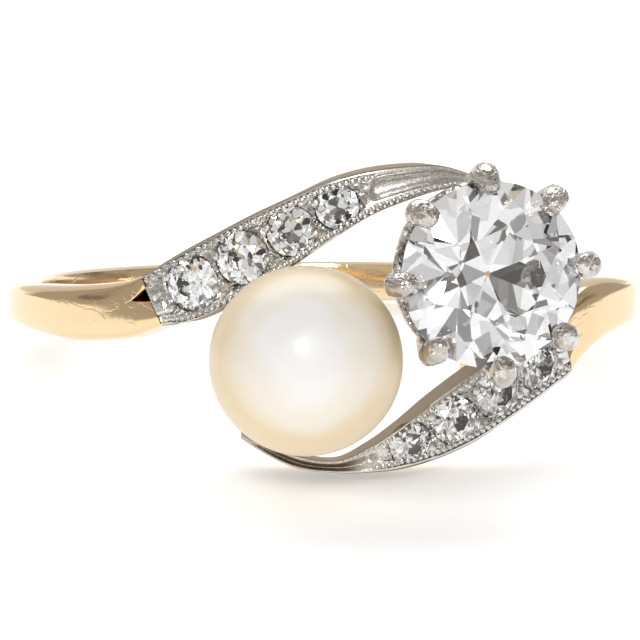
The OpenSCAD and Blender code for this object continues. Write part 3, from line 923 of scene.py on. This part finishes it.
@dataclass
class PlatinumShoulder:
    """The platinum top of a shoulder: rails, beaded edges, seats and cut field, in mm."""

    palette: Palette
    run: ShoulderRun
    name: str
    node: str
    start: float = -37.86
    end: float = 21
    step: float = 0.25
    across_steps: int = 48
    rim: float = 0.13
    inner_rim: float = 0.07
    bead_r: float = 0.1
    bead_pitch: float = 0.21
    bead_sink: float = 0.1
    slope_w: float = 0.12
    cell: float = 0.34
    tilt: float = 0.55
    cut_slant: float = 2.4
    field_r: float = 10.4
    lower_layer: float = 3.7
    cut_step: float = 0.05
    fine_grain_r: float = 0.1
    end_grain_r: float = 0.11
    grain_r: float = 0.17
    scoop_depth: float = 0.2
    groove_depth: float = 0.26
    groove_line: float = 0.25
    small_sink: float = 0.12
    seat_gap: float = 0.03
    seat_lip: float = 0.09
    seat_rise: float = 0.035
    inner_soft: float = 0.05
    outer_soft: float = 0.1
    full_half: float = 0.62
    last_clear: float = 0.27

    def __post_init__(self) -> None:
        """Works out where the stones and the hollow behind them are."""
        run = self.run
        self.stones = [(run.small_angle(i), run.small_size(i) / 2) for i in range(run.stones)]
        last, radius = self.stones[-1]
        self.hollow_start = last + math.degrees((radius + self.last_clear) / run.top_r(last))

    def shrink(self, angle: float) -> float:
        """Gives the share by which the edges narrow toward the tip."""
        return min(1.0, self.run.width(angle) / 2 / self.full_half)

    def stone_gap(self, angle: float, height: float) -> tuple[float, float]:
        """Gives the distance outside the nearest small stone's girdle, and that stone's radius."""
        best = (99.0, 1.0)
        for place, radius in self.stones:
            along = math.radians(angle - place) * self.run.top_r(place)
            up = height - self.run.middle(place)
            best = min(best, (math.hypot(along, up) - radius, radius))
        return best

    def cuts(self, angle: float, height: float) -> float:
        """Gives the height of the graver's small planes at a place."""
        layer = self.lower_layer if self.run.lower else 0.0
        spot = Vector((math.radians(angle) * self.field_r, height, layer)) / self.cell
        near = noise.voronoi(spot)[1][0]
        lean = noise.cell_vector(near * 7.31)
        away = spot - near
        slant = (lean.x - 0.5) * away.x + (lean.y - 0.5) * away.y
        return self.cell * self.tilt * slant * self.cut_slant + self.cut_step * (lean.z - 0.5)

    def hollow(self, angle: float, share: float) -> float:
        """Gives the depth of the polished hollow toward the tip.

        Args:
            angle: place along the shoulder.
            share: place across the hollow, from -1 at its inner side to 1 at its outer side.

        Returns:
            Depth in mm below the field.
        """
        begin = ease((angle - self.hollow_start - 1.2 * share * share) / 1.3)
        fade = ease((self.end - 1 - angle) / 6)
        if self.run.lower:
            line = self.groove_line
            reach = (share + 1) / (1 + line) if share < line else (1 - share) / (1 - line)
            return self.groove_depth * begin * fade * max(0.0, reach)
        bowl = max(0.0, 1 - share * share)
        return self.scoop_depth * begin * fade * bowl

    def depth(self, angle: float, across: float) -> tuple[float, float]:
        """Gives the depth below the rails at a place, and how much of it is chiselled."""
        run = self.run
        half = run.width(angle) / 2
        small = self.shrink(angle)
        from_in, from_out = across + half, half - across
        edge = min(from_in, from_out)
        soft = (self.inner_soft if from_in < from_out else self.outer_soft) * small
        # painted shade: the outer part of each rounded edge is marked -1, taking the walls' painted shade
        if edge < soft:
            rounded = soft - math.sqrt(max(0.0, soft * soft - (soft - edge) ** 2))
            return rounded, -1.0 if edge < soft * 0.6 else 0.0
        channel = 2 * self.bead_r * small
        open_end = ease((angle - self.hollow_start) / 1.5)
        rim_in, rim_out = self.inner_rim * small, self.rim * small
        outer = channel * (1 - 0.85 * open_end)
        bed = self.bead_sink * small
        if from_in < rim_in or from_out < rim_out:
            return 0.0, 0.0
        if from_in < rim_in + channel:
            return bed, 0.0
        if from_out < rim_out + outer:
            return bed * (1 - open_end), 0.0
        inner_way, outer_way = from_in - rim_in - channel, from_out - rim_out - outer
        field_w = 2 * half - rim_in - rim_out - channel - outer
        slope = min(self.slope_w * (1 + open_end), max(field_w * 0.25, 0.01))
        bed *= 1 - open_end if outer_way < inner_way else 1
        fall = ease(min(inner_way, outer_way) / slope)
        entry = ease((angle - self.start - (1.6 if across < -0.2 * half else 0.3)) / 1.2)
        floor = run.field_depth * 0.75 * entry * small
        depth = bed + (floor - bed) * fall
        share = 2 * inner_way / field_w - 1
        plain = ease((angle - self.hollow_start + 1.2) / 1.4)
        cut = fall * (1 - plain) * entry
        height = run.middle(angle) + across
        gap, radius = self.stone_gap(angle, height)
        depth += self.cuts(angle, height) * cut * ease(gap / 0.1 + 0.3)
        if angle > self.hollow_start:
            depth += self.hollow(angle, share) * fall
            # painted shade: the inner part of the lower groove takes the walls' painted shade, as a recess in
            # shade
            if run.lower and share < 0.2:
                cut = -ease((angle - self.hollow_start - 2) / 4)
        if gap < self.seat_gap:
            depth = max(depth, self.small_sink + 0.07 + max(0.0, -gap - 0.02) * 0.95)
        elif gap < self.seat_gap + self.seat_lip:
            ring = math.sin(math.pi * (gap - self.seat_gap) / self.seat_lip)
            depth -= self.seat_rise * ring * (1 - plain)
        thickness = run.top_r(angle) - run.bore_r - run.liner_t - 2 * GAP
        return min(depth, thickness), cut

    def section(self, angle: float) -> Section:
        """Gives the points of one section, from the inner foot over the top to the outer foot."""
        run = self.run
        half, top = run.width(angle) / 2, run.top_r(angle)
        low = run.bore_r + run.liner_t + GAP
        across, radii, cut = [], [], []
        # the feet and walls are marked -1, for their painted shade
        for share in (0.0, 0.35, 0.7):
            across.append(-half)
            radii.append(low + (top - 0.05 - low) * share)
            cut.append(-1.0)
        for k in range(self.across_steps + 1):
            t = k / self.across_steps
            bunched = t - math.sin(4 * math.pi * t) * 0.012
            a = -half + 2 * half * bunched
            deep, mask = self.depth(angle, a)
            across.append(a)
            radii.append(top - deep)
            cut.append(mask)
        for share in (0.7, 0.35, 0.0):
            across.append(half)
            radii.append(low + (top - 0.1 - low) * share)
            cut.append(-1.0)
        return [run.spot(angle, a / half, r - top) for a, r in zip(across, radii)], cut

    def bead_row(self, bm: Mesh, inner: bool) -> int:
        """Adds a row of beads along one edge, and gives their number."""
        run, angle, count = self.run, self.start + (1.9 if inner else 0.6), 0
        while angle < (self.end - 0.5 if inner else self.hollow_start + 1):
            small = self.shrink(angle)
            half = run.width(angle) / 2
            rim = self.inner_rim if inner else self.rim
            out = (rim + self.bead_r) * small
            size = self.bead_r * (0.25 + 0.75 * small) * (0.94 + 0.1 * math.sin(angle * 37))
            if half > 0.2:
                across = out - half if inner else half - out
                add_ball(bm, run.place(angle, across, -self.bead_sink * small + size * 0.6), size, 8)
                count += 1
            climb = math.tan(run.slope(angle))
            pitch = self.bead_pitch * (0.5 + 0.5 * small)
            angle += math.degrees(pitch / run.top_r(angle) / math.hypot(1, climb))
        return count

    def grains(self, bm: Mesh) -> None:
        """Adds the raised grains between the stones: a large pair, and smaller ones beside it."""
        run = self.run
        places = [self.stones[0][0] - (self.stones[1][0] - self.stones[0][0]) / 2]
        for (a, ra), (b, rb) in zip(self.stones, self.stones[1:]):
            places.append((b * ra + a * rb) / (ra + rb))
        places.append(self.stones[-1][0] + (self.stones[-1][0] - self.stones[-2][0]) / 2)
        for i, angle in enumerate(places):
            size = 2 * self.stones[min(i, len(self.stones) - 1)][1]
            clear = size / 2 + self.grain_r + 0.03
            beside = (size + run.small_gap) / 2
            apart = math.sqrt(max(self.grain_r**2, clear * clear - beside * beside)) + 0.03
            trio = (
                (0.0, apart, self.grain_r),
                (-1.25, apart + 0.26, self.fine_grain_r),
                (1.3, apart + 0.27, self.end_grain_r),
            )
            for side in (-1, 1):
                for shift, wide, radius in trio:
                    spot = run.place(angle + shift, side * wide, -run.field_depth * 0.7)
                    if wide + radius < run.width(angle + shift) / 2 - 0.12:
                        add_ball(bm, spot, radius, 12, 1.05)

    def build(self) -> bpy.types.Object:
        """Builds the platinum top and dresses it."""
        bm = bmesh.new()
        bm.verts.layers.float.new("cut")
        shapes = [self.section(a) for a in steps_between(self.start, self.end, self.step)]
        loft(bm, [points for points, _ in shapes], [cut for _, cut in shapes])
        outward(bm)
        trim = bmesh.new()
        count = self.bead_row(trim, True) + self.bead_row(trim, False)
        self.grains(trim)
        join_in(bm, trim)
        LOG.info("%s: %d beads", self.name, count)
        return dress(bm, self.name, self.palette[Finish.CUT_PLATINUM], (self.node,), 24)


# Diamonds


@dataclass
class OldCut:
    """An old-cut round stone, ground from a round body facet by facet. The shares are of its diameter."""

    diameter: float
    table: float = 0.5
    crown: float = 0.165
    pavilion: float = 0.42
    culet: float = 0.11
    belt: float = 0.08
    lower: float = 0.45
    round_steps: int = 96

    def point(self, radius: float, turn: float, height: float) -> Vector:
        """Gives a point at a radius, a turn in degrees and a height."""
        a = math.radians(turn)
        return Vector((radius * math.cos(a), radius * math.sin(a), height))

    def grind(self, bm: Mesh, a: Vector, b: Vector, c: Vector) -> None:
        """Grinds one flat facet through three points, and keeps the side of the stone's middle."""
        normal = (b - a).cross(c - a).normalized()
        if normal.dot(a) < 0:
            normal.negate()
        geom = bm.verts[:] + bm.edges[:] + bm.faces[:]
        cut = bmesh.ops.bisect_plane(bm, geom=geom, dist=MERGE, plane_co=a, plane_no=normal, clear_outer=True)
        edges = [e for e in cut["geom_cut"] if isinstance(e, bmesh.types.BMEdge) and e.is_boundary]
        if len(edges) > 2:
            bmesh.ops.edgeloop_fill(bm, edges=edges)

    def build(self, bm: Mesh, place: Matrix) -> None:
        """Grinds the stone and puts it in place, with its girdle's middle at the origin."""
        r = self.diameter / 2
        half_belt = self.belt / 2
        top = half_belt + self.crown * self.diameter
        table_r, culet_r, low_r = self.table * r, self.culet * r, self.lower * r
        star_r = (table_r + r) / 2
        turn = math.cos(math.radians(22.5))
        star_z = half_belt + self.crown * self.diameter * (r - star_r * turn) / (r - table_r)
        deep = self.pavilion * self.diameter
        low_z = -half_belt - deep * (r - low_r * turn) / (r - culet_r * turn)
        bmesh.ops.create_cone(
            bm, cap_ends=True, segments=self.round_steps, radius1=r, radius2=r, depth=2 * (deep + half_belt)
        )
        flat = (self.point(1, 0, top), self.point(1, 90, top), self.point(1, 180, top))
        self.grind(bm, *flat)
        for k in range(8):
            a, mid, b = k * 45.0, k * 45.0 + 22.5, k * 45.0 + 45
            star = self.point(star_r, mid, star_z)
            before = self.point(star_r, a - 22.5, star_z)
            belt = [self.point(r, turned, half_belt) for turned in (a, mid, b)]
            self.grind(bm, belt[0], before, star)
            self.grind(bm, self.point(table_r, a, top), self.point(table_r, b, top), star)
            self.grind(bm, belt[0], belt[1], star)
            self.grind(bm, belt[1], belt[2], star)
            low, low_before = self.point(low_r, mid, low_z), self.point(low_r, a - 22.5, low_z)
            belt = [self.point(r, turned, -half_belt) for turned in (a, mid, b)]
            self.grind(bm, belt[0], low_before, low)
            self.grind(bm, belt[0], belt[1], low)
            self.grind(bm, belt[1], belt[2], low)
        outward(bm)
        bmesh.ops.transform(bm, matrix=place, verts=bm.verts)


@dataclass
class SmallStones:
    """The four graduated stones of one shoulder."""

    palette: Palette
    run: ShoulderRun
    prefix: str
    sink: float = 0.12
    shares: ClassVar[dict[str, float]] = {
        "table": 0.52,
        "crown": 0.15,
        "pavilion": 0.38,
        "culet": 0.08,
        "belt": 0.05,
        "lower": 0.5,
        "round_steps": 48,
    }

    def build(self) -> None:
        """Grinds and sets each stone."""
        for i in range(self.run.stones):
            angle = self.run.small_angle(i)
            point = on_ring(angle, self.run.top_r(angle) - self.sink, self.run.middle(angle))
            place = self.run.turned() @ Matrix.Translation(point) @ ring_axes(angle)
            twist = Matrix.Rotation(math.radians(17 * i + (5 if self.run.lower else 0)), 4, "Z")
            bm = bmesh.new()
            OldCut(self.run.small_size(i), **self.shares).build(bm, place @ twist)
            name = f"{self.prefix}_stone_{i + 1}"
            dress(bm, name + "_cut", self.palette[Finish.SMALL_DIAMOND], (name,), 0)


# The main stone's head


@dataclass
class MainHead:
    """The main stone in its coronet with eight claws, in mm."""

    palette: Palette
    diameter: float = 5.44
    stand: float = 4.5
    side: float = 3.13
    rise: float = 1.62
    splay: float = 8
    claws: int = 8
    turn: float = 5
    foot_r: float = 1.6
    wall: float = 0.3
    rim_z: float = -0.56
    flare: float = 0.62
    dip: float = 0.3
    dip_start: float = 1.1
    dip_run: float = 0.6
    dent: float = 0.055
    dent_size: float = 2.6

    def place(self) -> Matrix:
        """Gives the stone's place in the ring's own frame, with Z along its axis."""
        point = Vector((self.side, -(UPPER.bore_r + self.stand), self.rise))
        lean = Matrix.Rotation(math.radians(self.splay), 4, "Z") @ Matrix.Rotation(math.pi / 2, 4, "X")
        return Matrix.Translation(point) @ lean

    def height(self) -> float:
        """Gives the coronet's height below the girdle, clear of the gold."""
        return self.stand - UPPER.liner_t - GAP

    def rim_r(self) -> float:
        """Gives the radius of the coronet's rim."""
        return self.diameter / 2 - 0.03

    def build_wall(self, bm: Mesh) -> None:
        """Spins the coronet's wall and dips its rim between the claws."""
        high, top = self.height(), self.rim_r()
        mid_r = self.foot_r + (top - self.foot_r) * 0.5
        wall = self.wall
        profile = [
            (self.foot_r, -high),
            (self.foot_r + 0.08, -high * 0.85),
            (mid_r - 0.05, -high * self.flare),
            (mid_r + 0.3, -high * 0.46),
            (top - 0.08, -high * 0.35),
            (top, -high * 0.28),
            (top, self.rim_z - 0.06),
            (top - 0.05, self.rim_z),
            (top - wall + 0.04, self.rim_z),
            (top - wall, self.rim_z - 0.06),
            (top - wall - 0.04, -high * 0.3),
            (mid_r + 0.2 - wall, -high * 0.46),
            (mid_r - 0.05 - wall, -high * self.flare),
            (self.foot_r - wall, -high * 0.85),
            (self.foot_r - wall, -high),
        ]
        verts = [bm.verts.new((r, 0, z)) for r, z in profile]
        edges = [bm.edges.new((verts[i], verts[(i + 1) % len(verts)])) for i in range(len(verts))]
        turn = {"cent": (0, 0, 0), "axis": (0, 0, 1), "angle": math.tau, "steps": 144}
        bmesh.ops.spin(bm, geom=verts + edges, use_merge=True, **turn)
        for vert in bm.verts:
            around = math.degrees(math.atan2(vert.co.y, vert.co.x)) - self.turn
            between = 0.5 - 0.5 * math.cos(math.radians(around * self.claws))
            near_rim = ease((vert.co.z + self.dip_start) / self.dip_run)
            vert.co.z -= self.dip * between**0.8 * near_rim
        outward(bm)

    def build_claw(self, bm: Mesh, turn: float) -> None:
        """Sweeps one claw up the wall and over the girdle to its rounded tip."""
        high, top, out = self.height(), self.rim_r(), self.diameter / 2
        keys = [
            (self.foot_r - 0.06, -high + 0.02, 0.18),
            (self.foot_r + 0.45, -high * 0.62, 0.22),
            (top - 0.22, -high * 0.38, 0.26),
            (top + 0.02, -high * 0.2, 0.3),
            (out + 0.16, -0.1, 0.36),
            (out + 0.18, 0.22, 0.39),
            (out + 0.04, 0.42, 0.39),
            (out - 0.09, 0.5, 0.35),
        ]
        path = smooth_path(keys, 4)
        spin = Matrix.Rotation(math.radians(turn), 4, "Z")
        sections = []
        for i, (r, z, size) in enumerate(path):
            back, ahead = path[max(i - 1, 0)], path[min(i + 1, len(path) - 1)]
            way = Vector((ahead[0] - back[0], 0, ahead[1] - back[1])).normalized()
            side = Vector((0, 1, 0))
            out_way = side.cross(way)
            sections.append(self.circle(spin, Vector((r, 0, z)), out_way, side, size))
        r, z, size = path[-1]
        for lean in (30, 55, 75, 87):
            turned = math.radians(lean)
            centre = Vector((r, 0, z)) + way * size * math.sin(turned) * 0.8
            sections.append(self.circle(spin, centre, out_way, side, size * math.cos(turned)))
        loft(bm, sections)

    def circle(self, spin: Matrix, centre: Vector, across: Vector, side: Vector, size: float) -> list[Vector]:
        """Gives sixteen points round a claw's middle line."""
        turns = [math.tau * k / 16 for k in range(16)]
        return [spin @ (centre + (across * math.cos(t) + side * math.sin(t)) * size) for t in turns]

    def build(self) -> None:
        """Builds the coronet with its claws, and the stone."""
        bm = bmesh.new()
        self.build_wall(bm)
        for k in range(self.claws):
            self.build_claw(bm, self.turn + k * 360 / self.claws)
        bmesh.ops.recalc_face_normals(bm, faces=bm.faces)
        bm.normal_update()
        for vert in bm.verts:
            vert.co += vert.normal * self.dent * (noise.noise(vert.co * self.dent_size) - 0.2)
        bmesh.ops.transform(bm, matrix=self.place(), verts=bm.verts)
        dress(bm, "coronet_metal", self.palette[Finish.PLATINUM], ("coronet",), 45)
        stone = bmesh.new()
        OldCut(self.diameter, culet=0.03).build(stone, self.place())
        dress(stone, "main_stone_cut", self.palette[Finish.DIAMOND], ("main_stone",), 0)


# The pearl's head


@dataclass
class PearlHead:
    """The pearl with its faint dimple, and the cup beneath it, in mm."""

    palette: Palette
    high: float = 5.55
    long: float = 5.65
    stand: float = 1.1
    side: float = 2.2
    drop: float = 0.87
    dimple_depth: float = 0.035
    dimple_r: float = 0.55
    waver: float = 0.012

    def middle(self) -> Vector:
        """Gives the pearl's middle in the ring's own frame."""
        return Vector((-self.side, -(UPPER.bore_r + self.stand + self.high / 2), -self.drop))

    def build(self) -> None:
        """Builds the pearl, and dresses the cup."""
        bm = bmesh.new()
        size = Matrix.Diagonal((self.high / 2, self.high / 2, self.long / 2, 1))
        shape = Matrix.Rotation(math.pi / 2, 4, "Y") @ size
        bmesh.ops.create_uvsphere(bm, u_segments=128, v_segments=80, radius=1, matrix=shape)
        dimple = Vector((0.0, -1.0, 0.16)).normalized() * self.high / 2
        for vert in bm.verts:
            way = vert.co.normalized()
            pit = math.exp(-((vert.co - dimple).length / self.dimple_r) ** 2) * self.dimple_depth
            vert.co += way * (self.waver * (noise.noise(vert.co * 0.55) - 0.5) - pit)
        bmesh.ops.translate(bm, vec=self.middle(), verts=bm.verts)
        bmesh.ops.recalc_face_normals(bm, faces=bm.faces)
        dress(bm, "pearl_nacre", self.palette[Finish.PEARL], ("pearl",), 180)
        self.dress_cup()

    def dress_cup(self) -> None:
        """Gives the cup the ring's gold."""
        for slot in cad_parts["pearl_cup"].material_slots:
            slot.material = self.palette[Finish.GOLD]


# Studio


@dataclass
class Studio:
    """Pale floor, soft lights and the camera, in metres."""

    floor_size: float = 1.6
    sweep_back: float = 0.5
    sweep_r: float = 0.3
    sweep_h: float = 1.2
    floor_colour: Colour = (0.86, 0.86, 0.86, 1)
    floor_glow: float = 0.38
    pool_r: float = 0.045
    pool_side: float = 0.8
    pool_edge: float = 300.0
    veil: float = 0.12
    veil_back: float = 0.45
    ambient: float = 0.45
    camera_far: float = 0.18
    camera_turn: float = -7.8
    camera_rise: float = 4.0
    lens: float = 325.0
    shift: tuple[float, float] = (-0.0039, -0.03125)
    room_low: float = 0.2
    room_high: float = 0.42
    room_tint: Colour = (1.0, 0.965, 0.89, 1)
    room_front: float = 0.25
    front_edge: float = 2.5
    patch_size: float = 2.6
    patch_level: float = 0.42
    patch_edge: float = 9.0
    stone_room: float = 1.2
    stone_dim: float = 0.03
    dark_share: float = 0.1
    screen_size: float = 2.2
    screen_power: float = 0.8
    lens_way: tuple[float, float, float] = (-0.135, -0.954, 0.268)
    lens_size: float = 0.984

    def build(self) -> None:
        """Builds the stage, the lights and the camera."""
        self.build_floor()
        self.build_world()
        self.area("overhead", (0.0, 0.42, 0.55), (0.0, 0.05, 0.0), 0.8, 0.45, 2.6)
        self.area("front_softbox", (-0.06, -0.485, 0.32), (0.0, 0.0, 0.0), 0.14, 0.14, 0.85)
        self.build_camera()

    def build_floor(self) -> None:
        """Builds the floor, which sweeps up behind the ring."""
        bm = bmesh.new()
        s = self.floor_size
        edge = [bm.verts.new((-s, -s, 0)), bm.verts.new((s, -s, 0))]
        edges = [bm.edges.new(edge)]
        back, bend = self.sweep_back, self.sweep_r
        turns = (0.4, 0.8, 1.2, math.pi / 2)
        curve = [(back + bend * math.sin(t), bend - bend * math.cos(t)) for t in turns]
        path = [(back, 0.0), *curve, (back + bend, self.sweep_h)]
        for y, z in path:
            grown = bmesh.ops.extrude_edge_only(bm, edges=edges)["geom"]
            fresh = [v for v in grown if isinstance(v, bmesh.types.BMVert)]
            grown_edges = [e for e in grown if isinstance(e, bmesh.types.BMEdge)]
            edges = [e for e in grown_edges if all(v in fresh for v in e.verts)]
            for vert in fresh:
                vert.co.y, vert.co.z = y, z
        bmesh.ops.recalc_face_normals(bm, faces=bm.faces)
        mesh = bpy.data.meshes.new("floor")
        bm.to_mesh(mesh)
        bm.free()
        floor = add_object("floor", mesh)
        mesh.materials.append(self.floor_paint())

    def floor_paint(self) -> bpy.types.Material:
        """Builds the floor's white, which polished metal sees as a pool of light with dim surroundings."""
        paint = Paint("floor")
        paint.plain(Base_Color=self.floor_colour, Roughness=0.6, Specular_IOR_Level=0.2)
        paint.plain(Emission_Color=(1, 1, 1, 1), Emission_Strength=self.floor_glow)
        split = paint.split(paint.place).outputs
        far = paint.node("ShaderNodeVectorMath", operation="LENGTH")
        paint.link(paint.place, far.inputs[0])
        beyond = paint.math("SUBTRACT", far.outputs["Value"], self.pool_r)
        past = paint.math("MULTIPLY", beyond, self.pool_edge, clamp=True)
        wide, deep = (paint.math("ABSOLUTE", split[axis]) for axis in "XY")
        beside = paint.math("GREATER_THAN", paint.math("MULTIPLY_ADD", deep, -self.pool_side, wide), 0.0)
        path = paint.node("ShaderNodeLightPath").outputs
        outside = paint.math("SUBTRACT", path["Is Glossy Ray"], path["Is Transmission Ray"], clamp=True)
        dim = paint.node("ShaderNodeEmission")
        dim.inputs["Color"].default_value = self.room_tint
        dim.inputs["Strength"].default_value = self.room_high
        mixed = paint.node("ShaderNodeMixShader")
        behind = paint.math("GREATER_THAN", split["Y"], self.sweep_back)
        veil = paint.math("MULTIPLY_ADD", behind, self.veil_back, self.veil)
        covered = paint.math("MAXIMUM", paint.math("MULTIPLY", past, beside), veil)
        end = next(n for n in paint.tree.nodes if n.type == "OUTPUT_MATERIAL")
        paint.link(paint.math("MULTIPLY", covered, outside), mixed.inputs[0])
        paint.link(paint.shader.outputs[0], mixed.inputs[1])
        paint.link(dim.outputs[0], mixed.inputs[2])
        paint.link(mixed.outputs[0], end.inputs["Surface"])
        return paint.material

    def build_world(self) -> None:
        """Sets a dim warm room for the metal, and a room of light and dark screens for the stones."""
        scene = bpy.context.scene
        scene.world = bpy.data.worlds.new("studio")
        scene.world.use_nodes = True
        room = Nodes(scene.world.node_tree)
        path = room.node("ShaderNodeLightPath").outputs
        place = room.node("ShaderNodeTexCoord").outputs["Generated"]
        inside = path["Is Transmission Ray"]
        outside = room.math("SUBTRACT", 1.0, inside)
        tint = room.mix(room.math("MULTIPLY", path["Is Glossy Ray"], outside), (1, 1, 1, 1), self.room_tint)
        glossy = room.math("SUBTRACT", path["Is Glossy Ray"], inside, clamp=True)
        plain = room.math("MULTIPLY", room.math("SUBTRACT", outside, glossy, clamp=True), self.ambient)
        mixed = room.math("MULTIPLY_ADD", self.metal_room(room, place), glossy, plain)
        back = room.tree.nodes["Background"].inputs
        room.link(tint, back["Color"])
        room.link(room.math("MULTIPLY_ADD", self.screens(room, place), inside, mixed), back["Strength"])
        scene.view_settings.view_transform = "Standard"
        scene.view_settings.look = "None"

    def metal_room(self, room: Nodes, place: Socket) -> Socket:
        """Gives the brightness that metal reflects: two levels in patches, and a brighter front."""
        patches = room.texture("Noise", place, self.patch_size, Detail=2.0).outputs["Fac"]
        past = room.math("SUBTRACT", patches, self.patch_level)
        high = room.math("MULTIPLY", past, self.patch_edge, clamp=True)
        side = room.math("MULTIPLY_ADD", high, self.room_high - self.room_low, self.room_low)
        ahead = room.math("MULTIPLY_ADD", room.split(place).outputs["Y"], -1.0, -0.5)
        front = room.math("MULTIPLY", ahead, self.front_edge, clamp=True)
        return room.math("MULTIPLY_ADD", front, self.room_front, side)

    def screens(self, room: Nodes, place: Socket) -> Socket:
        """Gives the brightness that stones show: screens of many levels, and a dark spot at the camera."""
        cells = room.texture("Voronoi", place, self.screen_size).outputs["Color"]
        shade = room.split(cells).outputs
        lit = room.math("GREATER_THAN", shade["Y"], self.dark_share)
        level = room.math("MULTIPLY", room.math("POWER", shade["X"], self.screen_power), lit)
        toward = room.node("ShaderNodeVectorMath", operation="DOT_PRODUCT")
        room.link(place, toward.inputs[0])
        toward.inputs[1].default_value = self.lens_way
        clear = room.math("LESS_THAN", toward.outputs["Value"], self.lens_size)
        return room.math("MULTIPLY", room.math("MULTIPLY_ADD", level, self.stone_room, self.stone_dim), clear)

    def area(self, name: str, place: tuple, aim: tuple, wide: float, high: float, power: float) -> None:
        """Adds a rectangular light aimed at a point."""
        light = bpy.data.lights.new(name, "AREA")
        light.shape = "RECTANGLE"
        light.size, light.size_y = wide, high
        light.energy = power
        lamp = add_object(name, light)
        lamp.location = place
        way = Vector(aim) - Vector(place)
        lamp.rotation_euler = way.to_track_quat("-Z", "Y").to_euler()

    def build_camera(self) -> None:
        """Puts the camera at the photograph's angle to the ring."""
        az, el = math.radians(self.camera_turn), math.radians(self.camera_rise)
        back = Vector((math.sin(az) * math.cos(el), -math.cos(az) * math.cos(el), math.sin(el)))
        right = Vector((math.cos(az), math.sin(az), 0))
        up = back.cross(right)
        laid = Matrix.Rotation(-math.radians(REST.tilt), 3, "X")
        back, right, up = laid @ back, laid @ right, laid @ up
        centre = Vector((0, REST.shift, REST.lift)) * MM
        data = bpy.data.cameras.new("camera")
        data.sensor_width = 36
        data.lens = self.lens
        data.shift_x, data.shift_y = self.shift
        data.clip_start = 0.01
        camera = add_object("camera", data)
        turn = Matrix((right, up, back)).transposed().to_4x4()
        camera.matrix_world = Matrix.Translation(centre + back * self.camera_far) @ turn
        bpy.context.scene.camera = camera


def write_sizes() -> None:
    """Updates the view layer, so that each piece's place is current."""
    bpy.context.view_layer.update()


def main() -> None:
    """Builds the ring piece by piece, then the studio."""
    palette = Palette()
    Shank(palette).build()
    PlatinumShoulder(palette, UPPER, "upper_shoulder_metal", "upper_shoulder").build()
    PlatinumShoulder(palette, LOWER, "lower_shoulder_metal", "lower_shoulder").build()
    SmallStones(palette, UPPER, "upper").build()
    SmallStones(palette, LOWER, "lower").build()
    MainHead(palette).build()
    PearlHead(palette).build()
    Studio().build()
    write_sizes()


if __name__ == "__main__":
    main()
